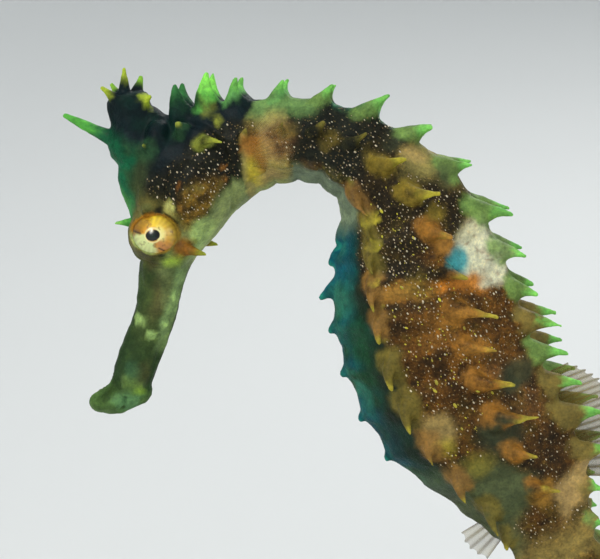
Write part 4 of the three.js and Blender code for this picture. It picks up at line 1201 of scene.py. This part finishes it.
# %% A small kit for building materials from nodes
class Finish:
    """One material, with short names for the nodes that the finishes below use."""

    def __init__(self, name):
        self.material = bpy.data.materials.new(name)
        self.material.use_nodes = True
        self.nodes = self.material.node_tree.nodes
        self.links = self.material.node_tree.links
        self.shader = self.nodes["Principled BSDF"]
        self.place = self.nodes.new("ShaderNodeTexCoord").outputs["Object"]

    def node(self, kind, inputs=(), **settings):
        node = self.nodes.new(kind)
        for key, value in settings.items():
            setattr(node, key, value)
        for socket, value in dict(inputs).items():
            self.feed(node.inputs[socket], value)
        return node

    def feed(self, socket, value):
        if isinstance(value, bpy.types.NodeSocket):
            self.links.new(value, socket)
        elif hasattr(socket.default_value, "__len__") and len(value) == 3:
            socket.default_value = (*value, 1.0) if socket.type == "RGBA" else value
        else:
            socket.default_value = value

    def noise(self, size_mm, detail=3.0, roughness=0.55, place=None):
        return self.node("ShaderNodeTexNoise", {
            "Vector": place or self.place, "Scale": 1 / (size_mm * MM), "Detail": detail,
            "Roughness": roughness}).outputs["Fac"]

    def cells(self, size_mm, feature="F1", place=None):
        return self.node("ShaderNodeTexVoronoi", {
            "Vector": place or self.place, "Scale": 1 / (size_mm * MM)},
            feature=feature).outputs["Distance"]

    def rise(self, value, low, high, start=0.0, end=1.0):
        return self.node("ShaderNodeMapRange", {
            "Value": value, "From Min": low, "From Max": high, "To Min": start, "To Max": end},
            interpolation_type="SMOOTHSTEP").outputs["Result"]

    def sum(self, first, second, how="ADD"):
        return self.node("ShaderNodeMath", {0: first, 1: second}, operation=how).outputs[0]

    def mix(self, share, first, second, blend="MIX"):
        return self.node("ShaderNodeMix", {"Factor": share, "A": first, "B": second},
                         data_type="RGBA", blend_type=blend).outputs["Result"]

    def colour_of(self, name):
        return self.node("ShaderNodeVertexColor", layer_name=name).outputs["Color"]

    def bump(self, height, depth_mm, strength=1.0, under=None):
        node = self.node("ShaderNodeBump", {
            "Height": height, "Distance": depth_mm * MM, "Strength": strength})
        if under is not None:
            self.links.new(under, node.inputs["Normal"])
        return node.outputs["Normal"]

    def set(self, **inputs):
        for name, value in inputs.items():
            self.feed(self.shader.inputs[name.replace("_", " ")], value)
        return self.material


def on(piece, material):
    piece.data.materials.clear()
    piece.data.materials.append(material)
    return piece


# %% The skin's material
wet = Finish("seahorse_skin")
painted = wet.colour_of("coat")
on_ground = wet.node("ShaderNodeVertexColor", layer_name="coat").outputs["Alpha"]
cloud = wet.noise(1.6, 4)
mottle = wet.noise(0.5, 5, 0.65)
fine = wet.noise(0.24, 2)
grain = wet.noise(0.14, 3)
pores = wet.cells(0.32)
freckles = wet.cells(0.4)


def tinted(share, base, colour):
    """The base, multiplied by a colour where the share says."""
    return wet.mix(share, base, wet.mix(1.0, base, colour, "MULTIPLY"))


shade = tinted(wet.rise(cloud, 0.4, 0.62, 0.0, 0.4), painted, (0.5, 0.47, 0.42))
shade = tinted(wet.rise(cloud, 0.6, 0.36, 0.0, 0.35), shade, (1.5, 1.4, 1.2))
busy = wet.rise(on_ground, 0.0, 1.0, 0.4, 1.0)
SPECKLES = [  # noise, where it starts and is full, its strength, what it multiplies the colour by
    (mottle, 0.52, 0.66, 0.7, (1.7, 1.5, 1.15)),
    (mottle, 0.48, 0.32, 0.85, (0.36, 0.32, 0.28)),
    (pores, 0.13, 0.03, 0.5, (0.3, 0.26, 0.22)),
    (fine, 0.5, 0.64, 0.6, (1.6, 1.45, 1.1)),
    (fine, 0.5, 0.36, 0.6, (0.5, 0.46, 0.42)),
]
for texture, start, full, strength, tint in SPECKLES:
    share = wet.sum(busy, wet.rise(texture, start, full, 0.0, strength), "MULTIPLY")
    shade = tinted(share, shade, tint)
freckled = wet.sum(wet.rise(freckles, 0.26, 0.14), wet.rise(on_ground, 0.2, 0.7), "MULTIPLY")
freckled = wet.sum(freckled, wet.rise(mottle, 0.42, 0.55, 0.15, 0.85), "MULTIPLY")
shade = wet.mix(freckled, shade, (0.13, 0.088, 0.028), "ADD")
relief = wet.bump(pores, 0.05, 0.6)
relief = wet.bump(mottle, 0.12, 0.8, relief)
relief = wet.bump(grain, 0.035, 0.7, relief)
on(skin, wet.set(
    Base_Color=shade, Roughness=wet.rise(grain, 0.3, 0.7, 0.42, 0.7), Normal=relief,
    Subsurface_Weight=0.12, Subsurface_Scale=0.0006, Subsurface_Radius=(1.0, 0.6, 0.35),
    Coat_Weight=0.02, Coat_Roughness=0.25, Specular_IOR_Level=0.11))

# %% [markdown]
# ## Pale dots and yellow flecks
#
# The brown ground is sprinkled with raised dots, set in slanting rows on the plates, and with
# larger yellow flecks nearer the belly. They stand a little proud, so they are real domes laid on
# the skin and joined into one mesh of each kind. Their places are worked out from the rows and
# thrown out wherever paint other than the brown ground lies. Each dome's patch of the map called
# OFBake sits where its root would be on the body rolled out flat.

# %% Domes laid on the skin
DOME_SIDES = 7
dome_turn = np.linspace(0, 2 * np.pi, DOME_SIDES, endpoint=False)
DOME_LOOPS = ((1, -0.5), (0.8, 0.55))  # radius, height
DOME = np.array([[math.cos(t) * r, math.sin(t) * r, h] for r, h in DOME_LOOPS for t in dome_turn]
                + [[0, 0, 1.0]])
dome_edges = [(i, (i + 1) % DOME_SIDES) for i in range(DOME_SIDES)]
DOME_FACES = [[a, b, b + DOME_SIDES, a + DOME_SIDES] for a, b in dome_edges]
DOME_FACES += [[a + DOME_SIDES, b + DOME_SIDES, 2 * DOME_SIDES] for a, b in dome_edges]
BAKE_PATCH = 0.003
BARE_ENOUGH = 0.5
DOT_WAY = (0.55, 0.0, -0.83)  # the dots run down and back on both sides


def lay_domes(name, wanted, long_r, short_r, height, slant, tones):
    """wanted: rows of distance, corner number. Domes are long along one slanting line."""
    aims = on_skin(wanted[:, 0], wanted[:, 1])
    way = np.array(DOT_WAY)
    spots, maps, colours = [], [], []
    for aim, row, size, tone in zip(aims, wanted, zip(long_r, short_r, height, slant), tones):
        hit, normal, face, _ = skin_tree.find_nearest(Vector(aim))
        if bare[skin_faces[face][0]] < BARE_ENOUGH:
            continue
        normal = np.array(normal)
        first = unit(way - way @ normal * normal)
        second = np.cross(normal, first)
        long_way = first * math.cos(size[3]) + second * math.sin(size[3])
        short_way = np.cross(normal, long_way)
        axes = np.stack([long_way * size[0], short_way * size[1], normal * size[2]])
        spots.append(np.array(hit) + DOME @ axes)
        root = np.array([row[0] / TAIL_TIP, np.mod(row[1], CORNERS) / CORNERS])
        maps.append(root + DOME[:, :2] * BAKE_PATCH / 2)
        colours.append(np.tile(tone, (len(DOME), 1)))
    faces = [[corner + number * len(DOME) for corner in face]
             for number in range(len(spots)) for face in DOME_FACES]
    piece = new_object(name, np.vstack(spots), faces)
    flat = np.vstack(maps)
    uv = piece.data.uv_layers.new(name="OFBake")
    loops = np.empty(len(piece.data.loops), np.int64)
    piece.data.loops.foreach_get("vertex_index", loops)
    uv.data.foreach_set("uv", flat[loops].ravel())
    add_colours(piece, "tone", np.vstack(colours))
    piece.data.shade_smooth()
    print(f"{name}: {len(spots)} domes")
    return piece


# %% The pale dots, in slanting rows
dice = np.random.default_rng(41)
DOT_DIM, DOT_BRIGHT = linear("#83693c"), linear("#eee6cc")
DOTS_FROM, DOTS_TO = 21.0, 84.0
ROW_STEP, DOT_STEP, ROW_SLANT = 0.39, 0.46, 0.31
rows = []
for number, at_row in enumerate(np.arange(DOTS_FROM, DOTS_TO, ROW_STEP)):
    across = body_value(BACK, at_row) + body_value(BELLY, at_row) + 2 * body_value(HALF, at_row)
    half_round = np.pi * across / 4
    count = int(half_round / DOT_STEP)
    for step in range(count):
        corner = 7 * (step + (number * ROW_SLANT) % 1) / count
        rows += [(at_row, corner), (at_row, CORNERS - corner)]
rows = np.array(rows)
rows += dice.normal(0, 1, rows.shape) * [0.13, 0.04]
crowd = lumps(place(rows[:, 0], (rows[:, 1] - 7) * 1.5, 0), 3.2, 21)
chance = 0.76 + 0.4 * crowd
chance *= np.where(band(rows[:, 0], 31, 40, 1) > 0.5, 0.55, 1)
rows = rows[dice.random(len(rows)) < chance]
size = 0.038 + 0.04 * dice.random(len(rows)) ** 1.5 + 0.034 * (dice.random(len(rows)) < 0.1)
bright = np.clip((size - 0.046) / 0.036, 0, 1) * dice.uniform(0.5, 1, len(rows))
tones = DOT_DIM + bright[:, None] * (DOT_BRIGHT - DOT_DIM)
pale_dots = lay_domes("pale_dots", rows, size * 1.5, size * 0.9, size * 0.6,
                      dice.normal(0, 0.22, len(rows)), tones)

# %% The yellow flecks, nearer the belly
YELLOW_PLACES = [  # distance, corner number, size
    (46.9, 4.2, 1.6), (49.5, 4.5, 1.0), (55.1, 4.2, 1.5), (57.7, 4.5, 1.1), (57.0, 3.3, 1.5),
    (60.3, 2.8, 1.4), (64.6, 4.0, 1.9), (65.3, 4.1, 1.6), (67.3, 3.8, 1.9), (66.5, 3.0, 1.6),
    (67.6, 2.7, 1.4), (59.0, 4.3, 1.2), (60.8, 4.1, 1.3), (62.5, 3.9, 1.1), (69.6, 3.9, 1.2),
]
YELLOW_DEEP, YELLOW = linear("#9c9226"), linear("#ded830")
SMALL_FLECKS = 360  # strewn over both flanks
yellow = YELLOW_PLACES + [(distance_at, CORNERS - c, s) for distance_at, c, s in YELLOW_PLACES]
for _ in range(SMALL_FLECKS):
    corner = dice.normal(3.7, 0.75)
    yellow.append((dice.uniform(45, 72), corner if dice.random() < 0.5 else CORNERS - corner,
                   0.42 + 0.4 * dice.random()))
yellow = np.array(yellow)
yellow_flecks = lay_domes("yellow_flecks", yellow[:, :2], yellow[:, 2] * 0.17, yellow[:, 2] * 0.095,
                          yellow[:, 2] * 0.05, dice.normal(0.1, 0.35, len(yellow)),
                          YELLOW_DEEP + dice.random((len(yellow), 1)) * (YELLOW - YELLOW_DEEP))

# %% Their finishes
for piece, name in ((pale_dots, "pale_dot"), (yellow_flecks, "yellow_fleck")):
    dot = Finish(name)
    tone = dot.colour_of("tone")
    speckle = dot.noise(0.2, 2)
    speckled = dot.mix(speckle, tone, dot.mix(1.0, tone, (0.7, 0.62, 0.5), "MULTIPLY"))
    on(piece, dot.set(Base_Color=speckled,
                      Roughness=dot.rise(dot.noise(0.1, 2), 0.3, 0.7, 0.35, 0.5),
                      Normal=dot.bump(dot.noise(0.08, 2), 0.01, 0.5), Subsurface_Weight=0.1,
                      Subsurface_Scale=0.0003))
    ready(piece, "skin")

# %% [markdown]
# ## The eyes
#
# A seahorse's eye is a round turret of skin that turns about a very small pupil, and the coloured part
# is nearly all of what shows. It could be a sphere with a painted iris, but the eye is flatter than a
# ball and has a clear swelling over the pupil, so each is a dome built ring by ring. Its colours are
# painted by angle and radius, with a small painted glint at the pupil's edge, and a clear coat gives it
# the wet shine.

# %% The eyeball
PUPIL = 0.66
PUPIL_UP = 0.25  # the pupil sits above the middle
SWELLING = 0.2
eye_r = np.concatenate([np.linspace(0.02, 1.0, 26), np.linspace(1.06, 2.46, 34)])
eye_t = np.linspace(0, 2 * np.pi, 128, endpoint=False)
eye_turns = np.radians([0, 25, 50, 75])


def eye_height(radius):
    """A flattened dome with a swelling over the pupil."""
    dome = EYE_DEPTH * np.sqrt(np.clip(1 - (radius / EYE_RADIUS) ** 2, 0, 1))
    return dome + SWELLING * groove(radius, 0.95)


eye_rings = [(r, eye_height(r)) for r in eye_r]
eye_rings += [(EYE_RADIUS * math.cos(t), -EYE_DEPTH * 0.8 * math.sin(t)) for t in eye_turns]


EYE_CRACKS = [  # start and end across and up, width of each dark line in the iris
    ((-2.25, 0.62), (-1.3, 0.42), 0.13), ((0.55, -1.15), (1.0, -1.45), 0.09),
    ((-0.9, -1.9), (-0.5, -2.3), 0.16),
]


def eye_colours(radius, turn_at, flat):
    """Painted by the way round (0 is towards the tail, 90 is up) and the distance from the middle.
    Both are taken from the pupil, which sits high, and pass into the eye's own at its edge."""
    grain = lumps(flat, 0.16, 31) * 0.6 + lumps(flat, 0.38, 32)
    ray = np.sin(turn_at * 23 + 1.5 * lumps(flat, 0.7, 33)) * 0.5 + 0.5
    colour = np.tile(linear("#d89b2e"), (len(radius), 1))

    def tint(code, mask):
        colour[:] += np.clip(mask, 0, 1)[:, None] * (linear(code) - colour)

    def sector(middle, wide, soft=0.35):
        gap = np.abs(np.angle(np.exp(1j * (turn_at - math.radians(middle)))))
        return 1 - smoothstep(gap + 0.12 * grain, math.radians(wide) - soft, math.radians(wide) + soft)

    tint("#f6d233", 0.95 * sector(75, 38) * smoothstep(radius, 0.7, 1.1))
    tint("#d9b546", 0.8 * sector(30, 40) * smoothstep(radius, 1.0, 1.6))
    tint("#a8801c", 0.85 * sector(140, 30) * smoothstep(radius, 0.9, 1.6))
    tint("#7e4a1a", 0.8 * sector(163, 14) * smoothstep(radius, 0.9, 1.7))
    tint("#9a5c1a", 0.6 * sector(107, 5, 0.1) * smoothstep(radius, 0.8, 1.2))
    tint("#f2e690", 0.95 * sector(12, 50) * (1 - smoothstep(radius, 0.95, 1.5)))
    tint("#9c8228", 0.7 * sector(-5, 55) * smoothstep(radius, 1.5, 2.15))
    tint("#d2dc94", sector(228, 54, 0.2) * smoothstep(radius, 0.6, 0.85))
    tint("#94aa68", 0.7 * sector(208, 36) * smoothstep(radius, 1.5, 2.2))
    tint("#bc7a48", 0.75 * sector(-52, 20) * smoothstep(radius, 0.7, 1.0))
    tint("#6e4c18", 0.35 * ray * smoothstep(radius, 0.9, 2.2))
    tint("#4a3412", 0.5 * smoothstep(grain, 0.35, 0.9))
    tint("#f2e8a4", 0.8 * groove(radius - PUPIL - 0.1, 0.09))
    for start, end, width in EYE_CRACKS:
        ends = [np.array([x, 0, z]) for x, z in (start, end)]
        tint("#1e1710", 0.9 * groove(path_gap(flat * [1, 0, 1], ends), width))
    tint("#3c2c10", 0.5 * smoothstep(radius, 2.05, 2.3) * (1 - 0.8 * sector(230, 50)))
    pupil_edge = PUPIL * (1 + 0.09 * np.cos(2 * turn_at - 0.5)) + 0.02 * grain
    tint("#060a08", 1 - smoothstep(radius, pupil_edge - 0.05, pupil_edge + 0.03))
    tint("#13261d", 0.8 * (1 - smoothstep(radius, 0.2, 0.46)))
    # A cream fleck at the pupil's upper edge is a painted glint.
    tint("#fbf0c8", 0.9 * groove(radius * np.abs(turn_at - 1.75), 0.14) * groove(radius - 0.56, 0.16))
    return colour


for side, name in ((-1, "eye_left"), (1, "eye_right")):
    loops = np.array([[[r * math.cos(t), h, r * math.sin(t)] for t in eye_t] for r, h in eye_rings])
    flat, faces = loft(loops)
    shift = PUPIL_UP * (1 - smoothstep(np.hypot(flat[:, 0], flat[:, 2]), 1.0, 2.2))
    high = flat[:, 2] - shift
    colours = eye_colours(np.hypot(flat[:, 0], high), np.arctan2(high, flat[:, 0]), flat)
    placed = flat * [1, side, EYE_SQUASH] + EYE * [1, side, 1]
    if side > 0:
        faces = [face[::-1] for face in faces]
    eye = new_object(name.replace("eye", "eyeball"), placed, faces)
    eye.data.shade_smooth()
    add_colours(eye, "iris", colours)
    ready(eye, "eyes", name)
    glossy = Finish(f"{name}_wet")
    on(eye, glossy.set(
        Base_Color=glossy.colour_of("iris"), Roughness=0.35, Coat_Weight=0.5, Coat_Roughness=0.04,
        Specular_IOR_Level=0.25, Subsurface_Weight=0.05, Subsurface_Scale=0.0004,
        Normal=glossy.bump(glossy.noise(0.12, 3), 0.012, 0.5)))
print("eyes made")

# %% [markdown]
# ## The fins
#
# A seahorse's fins are so thin that light comes through: stiff rays with a film between them. A
# flat plane with a see-through picture would vanish edge on. Here one closed sheet swells where
# each ray runs and draws in between them at the edge, and its clearness follows the same rays.

# %% One fin from a root line and an edge line
FILM = 0.07
RAY = 0.17
FIN_ROWS = 14
STEPS_PER_RAY = 8


def face_outwards(piece):
    """Turns every face of a closed mesh outwards."""
    shape = bmesh.new()
    shape.from_mesh(piece.data)
    bmesh.ops.recalc_face_normals(shape, faces=shape.faces)
    shape.to_mesh(piece.data)
    shape.free()


def make_fin(name, node, rays, edge_at, wave, film=0.25, ray=0.5):
    """edge_at(share) gives the root, the tip and the direction across the sheet. The last two
    say how much the film and the rays hide what is behind them."""
    loops, colours = [], []
    high = np.linspace(0, 1, FIN_ROWS)
    for share in np.linspace(0, 1, rays * STEPS_PER_RAY + 1):
        root, tip, across = edge_at(share)
        near_ray = abs(math.cos(math.pi * rays * share)) ** 5
        reach_out = (tip - root) * (1 - 0.07 * (1 - near_ray))
        middle = root + high[:, None] * reach_out
        middle = middle + (wave * np.sin(9 * share + 2.2 * high) * high**1.5)[:, None] * across
        thick = (FILM + (RAY - FILM) * near_ray * (1 - 0.55 * high))[:, None] * across
        loops.append(np.vstack([middle + thick, (middle - thick)[::-1]]))
        dark = 0.5 + 0.5 * np.sin(7 * share + 5 * high)
        shade = near_ray * (1 - 0.3 * high)
        row = np.stack([0.4 - 0.14 * shade - 0.1 * dark, 0.32 - 0.13 * shade - 0.08 * dark,
                        0.08 - 0.03 * shade], 1)
        clear = (film + ray * near_ray) * (1 - 0.35 * high) + 0.2 * (1 - smoothstep(high, 0, 0.3))
        row = np.hstack([row, clear[:, None]])
        colours.append(np.vstack([row, row[::-1]]))
    points_fin, faces = loft(np.array(loops))
    tints = np.vstack([*colours, colours[0].mean(axis=0), colours[-1].mean(axis=0)])
    piece = new_object(name, points_fin, faces)
    face_outwards(piece)
    add_colours(piece, "film", tints[:, :3], tints[:, 3])
    piece.data.shade_smooth()
    ready(piece, "fins", node)
    thin = Finish(f"{name}_film")
    tinted_film = thin.node("ShaderNodeVertexColor", layer_name="film")
    colour = tinted_film.outputs["Color"]
    cloudy = thin.noise(0.5, 3)
    cloudy = thin.mix(cloudy, colour, thin.mix(1.0, colour, (0.6, 0.6, 0.5), "MULTIPLY"))
    on(piece, thin.set(
        Base_Color=cloudy, Alpha=tinted_film.outputs["Alpha"], Roughness=0.5,
        Subsurface_Weight=0.1, Subsurface_Scale=0.0004, Specular_IOR_Level=0.2,
        Normal=thin.bump(thin.noise(0.2, 3), 0.02, 0.5)))
    print(f"{name}: {rays} rays")
    return piece


# %% The dorsal, anal and pectoral fins
DORSAL_FIN = {"from": 69.5, "to": 80.5, "height": 6.2, "sweep": 2.6}
ANAL_FIN = {"from": 79.8, "to": 82.2, "height": 2.3, "sweep": 1.2}
PECTORAL_FIN = {"at": 30.2, "middle": -0.5, "root": 2.2, "length": 4.6, "spread": 0.5, "flare": 0.42}
OUTWARDS = np.array([0, 1.0, 0])


def dorsal_edge(share):
    at_ray = DORSAL_FIN["from"] + share * (DORSAL_FIN["to"] - DORSAL_FIN["from"])
    surface = 0.8 * float(body_value(BACK, at_ray))
    height = DORSAL_FIN["height"] * math.sqrt(math.sin(math.pi * (0.1 + 0.8 * share)))
    tip = place(at_ray, 0, surface + height) + DORSAL_FIN["sweep"] * share * axes_at(at_ray)[0]
    return place(at_ray, 0, surface - 0.6), tip, OUTWARDS


def anal_edge(share):
    at_ray = ANAL_FIN["from"] + share * (ANAL_FIN["to"] - ANAL_FIN["from"])
    belly = float(body_value(BELLY, at_ray))
    down = -belly - ANAL_FIN["height"] * (0.75 + 0.25 * math.sin(math.pi * share))
    return (place(at_ray, 0, -0.75 * belly),
            place(at_ray, 0, down) + ANAL_FIN["sweep"] * share * axes_at(at_ray)[0], OUTWARDS)


def pectoral_edge(side):
    fin = PECTORAL_FIN
    along, back = axes_at(fin["at"])

    def edge(share):
        share = share - 0.5
        spread = 2 * share * fin["spread"]
        root = place(fin["at"], side * (float(body_value(HALF, fin["at"])) - 0.7),
                     fin["middle"] + share * fin["root"])
        ray = (math.cos(spread) * math.cos(fin["flare"]) * along + math.sin(spread) * back
               + side * math.sin(fin["flare"]) * OUTWARDS)
        reach_out = fin["length"] * (1 - 0.6 * share * share) + 0.7
        return root, root + ray * reach_out, unit(np.cross(ray, back))

    return edge


make_fin("dorsal_sail", "dorsal_fin", 17, dorsal_edge, 0.3, 0.55, 0.35)
make_fin("anal_fan", "anal_fin", 4, anal_edge, 0.1, 0.3, 0.35)
make_fin("pectoral_fan_left", "pectoral_fin_left", 14, pectoral_edge(-1), 0.15, 0.02, 0.1)
make_fin("pectoral_fan_right", "pectoral_fin_right", 14, pectoral_edge(1), 0.15, 0.02, 0.1)

# %% [markdown]
# ## The display stand
#
# A free-swimming animal can't stand, so as in a museum case two slim brass rods hold the curled
# tail over a wooden base. The base is a rounded slab with a moulded edge: the same rounded
# outline drawn in step by step, which a bevel alone would not give. The rods are turned, each
# with a collar at its foot, and they run up into the tail.

# %% The base
BASE = {"length": 74.0, "width": 44.0, "height": 6.0, "corner": 8.0}
BASE_STEPS = [(0.5, 0.0), (0.12, 0.15), (0.0, 0.5), (0.0, 3.4), (0.06, 3.7), (0.3, 3.9), (0.75, 4.0),
              (0.95, 4.15), (1.0, 4.5), (1.05, 5.2), (1.25, 5.7), (1.6, 5.93), (2.0, 6.0)]


def base_outline(inset, height):
    x, y = BASE["length"] / 2 - BASE["corner"], BASE["width"] / 2 - BASE["corner"]
    radius = BASE["corner"] - inset
    loop = []
    for cx, cy, start in ((x, -y, -90), (x, y, 0), (-x, y, 90), (-x, -y, 180)):
        for t in np.radians(start + np.linspace(0, 90, 13)):
            loop.append([cx + radius * math.cos(t), cy + radius * math.sin(t), height])
    return loop


base_points, base_faces = loft(np.array([base_outline(inset, height) for inset, height in BASE_STEPS]))
base = new_object("stand_wood_base", base_points, base_faces)
face_outwards(base)
for face in base.data.polygons:
    face.use_smooth = abs(face.normal.z) < 0.999
ready(base, "stand_wood", "stand_base")

# %% The rods
ROD = {"radius": 1.1, "collar": 2.1, "collar_height": 1.2, "into_tail": 1.3}
ROD_X = {"front": 7.2, "back": 15.6}
rod_turn = np.linspace(0, 2 * np.pi, 40, endpoint=False)
ROD_FOOT = [(1.1, -2.4), (1.1, 0.31), (2.0, 0.31), (2.1, 0.42), (2.1, 0.75), (2.0, 0.9), (1.75, 1.0),
            (1.5, 1.15), (1.3, 1.4), (1.16, 1.8), (1.1, 2.3)]


def tail_underside(x):
    near = np.flatnonzero(np.abs(LINE[:, 0] - x) < 0.12)
    low = near[LINE[near, 2].argmin()]
    return LINE[low, 2] - 0.9 * float(body_value(BACK, LINE_AT[low]))


for end, x in ROD_X.items():
    rod_top = tail_underside(x) + ROD["into_tail"]
    profile = [(r, BASE["height"] + h) for r, h in ROD_FOOT] + [(1.1, rod_top - 0.1), (1.0, rod_top)]
    loops = [[[x + r * math.cos(t), r * math.sin(t), z] for t in rod_turn] for r, z in profile]
    rod_points, rod_faces = loft(np.array(loops))
    rod = new_object(f"stand_brass_rod_{end}", rod_points, rod_faces)
    face_outwards(rod)
    rod.data.shade_smooth()
    ready(rod, "stand_brass", f"stand_rod_{end}")
    print(f"rod at x = {x} mm reaches {rod_top:.1f} mm")

# %% Wood and brass
wood = Finish("walnut")
stretched = wood.node("ShaderNodeMapping", {
    "Vector": wood.place, "Scale": (0.12, 1.0, 1.0)}).outputs["Vector"]
figure = wood.noise(5.0, 4, 0.6, stretched)
grain_lines = wood.node("ShaderNodeTexWave", {
    "Vector": stretched, "Scale": 330.0, "Distortion": 9.0, "Detail": 3.0, "Detail Scale": 0.8},
    bands_direction="Y").outputs["Fac"]
fibre = wood.noise(0.5, 4, 0.6, wood.node("ShaderNodeMapping", {
    "Vector": wood.place, "Scale": (0.05, 1.0, 1.0)}).outputs["Vector"])
brown = wood.mix(wood.rise(figure, 0.3, 0.7), (0.055, 0.024, 0.012), (0.16, 0.075, 0.032))
brown = wood.mix(wood.rise(grain_lines, 0.2, 0.9, 0.0, 0.55), brown, (0.035, 0.016, 0.009))
brown = wood.mix(wood.rise(fibre, 0.45, 0.75, 0.0, 0.5), brown, (0.2, 0.1, 0.045))
on(base, wood.set(Base_Color=brown, Roughness=wood.rise(fibre, 0.3, 0.7, 0.32, 0.5), Coat_Weight=0.25,
                  Coat_Roughness=0.18, Normal=wood.bump(fibre, 0.03, 0.4)))
brass = Finish("brass")
turned = brass.noise(0.25, 3, 0.6, brass.node("ShaderNodeMapping", {
    "Vector": brass.place, "Scale": (0.2, 0.2, 1.0)}).outputs["Vector"])
tarnish = brass.noise(3.0, 4)
metal = brass.mix(brass.rise(tarnish, 0.4, 0.7), (0.78, 0.56, 0.22), (0.52, 0.34, 0.13))
brass.set(Base_Color=metal, Metallic=1.0, Roughness=brass.rise(tarnish, 0.35, 0.7, 0.2, 0.38),
          Normal=brass.bump(turned, 0.012, 0.4))
for end in ROD_X:
    on(bpy.data.objects[f"stand_brass_rod_{end}"], brass.material)

# %% [markdown]
# ## Floor, light and camera
#
# The model stands on a pale floor that curves up all round into a pale wall, as in a light tent,
# so no edge shows from any side. It is one turned surface. A large lamp in front and above gives
# the main light, a weaker one fills the far side, and one behind draws a soft edge along the back.

# %% The pale floor
FLAT_TO, SWEEP = 0.25, 1.5
FLOOR_PROFILE = [(0.0, 0.0)] + [
    (FLAT_TO + SWEEP * math.sin(a), SWEEP - SWEEP * math.cos(a)) for a in np.radians(range(0, 91, 5))
] + [(FLAT_TO + SWEEP, 2.5)]
FLOOR_SIDES = 96
floor_turn = np.linspace(0, 2 * np.pi, FLOOR_SIDES, endpoint=False)
floor_loops = [[[r * math.cos(t), r * math.sin(t), z] for t in floor_turn]
               for r, z in [(0.001, 0.0)] + FLOOR_PROFILE[1:]]
floor_points, floor_faces = loft(floor_loops, closed_ends=False)
floor_faces.append(list(range(FLOOR_SIDES)))
backdrop = new_object("pale_floor", floor_points, floor_faces, scale=1)
backdrop.data.shade_smooth()
floor_paint = bpy.data.materials.new("floor_paint")
floor_paint.use_nodes = True
floor_shader = floor_paint.node_tree.nodes["Principled BSDF"]
floor_shader.inputs["Base Color"].default_value = (0.7, 0.71, 0.7, 1)
floor_shader.inputs["Roughness"].default_value = 0.9
backdrop.data.materials.append(floor_paint)

# %% The lamps
scene = bpy.context.scene
scene.view_settings.view_transform = "Standard"
world = bpy.data.worlds.new("studio")
world.use_nodes = True
world.node_tree.nodes["Background"].inputs["Color"].default_value = (0.9, 0.95, 1.0, 1)
world.node_tree.nodes["Background"].inputs["Strength"].default_value = 0.8
scene.world = world


def add_lamp(name, place_m, aim_m, size, watts, colour=(1, 1, 1)):
    lamp = bpy.data.lights.new(name, "AREA")
    lamp.shape = "DISK"
    lamp.size = size
    lamp.energy = watts
    lamp.color = colour
    holder = bpy.data.objects.new(name, lamp)
    holder.location = place_m
    holder.rotation_euler = (Vector(aim_m) - Vector(place_m)).to_track_quat("-Z", "Y").to_euler()
    scene.collection.objects.link(holder)


MIDDLE = (0.0, 0.0, 0.07)
add_lamp("key_lamp", (-0.28, -0.5, 0.5), MIDDLE, 0.3, 2.8, (1.0, 0.98, 0.94))
add_lamp("fill_lamp", (0.55, -0.35, 0.3), MIDDLE, 0.4, 0.9, (0.9, 0.97, 1.0))
add_lamp("edge_lamp", (0.2, 0.5, 0.6), MIDDLE, 0.3, 2.4)

# %% The camera
CAMERA_AIM = Vector((-0.0080, 0.0, 0.07795))
CAMERA_AZIMUTH = math.radians(5)
CAMERA_HEIGHT = math.radians(8)
CAMERA_DISTANCE = 0.150
camera_data = bpy.data.cameras.new("camera")
camera_data.lens = 90
camera_data.sensor_width = 36
camera_data.clip_start = 0.01
camera_data.clip_end = 10
camera = bpy.data.objects.new("camera", camera_data)
camera_back = Vector((math.sin(CAMERA_AZIMUTH) * math.cos(CAMERA_HEIGHT),
                      -math.cos(CAMERA_AZIMUTH) * math.cos(CAMERA_HEIGHT), math.sin(CAMERA_HEIGHT)))
camera.location = CAMERA_AIM + camera_back * CAMERA_DISTANCE
camera.rotation_euler = (-camera_back).to_track_quat("-Z", "Y").to_euler()
scene.collection.objects.link(camera)
scene.camera = camera
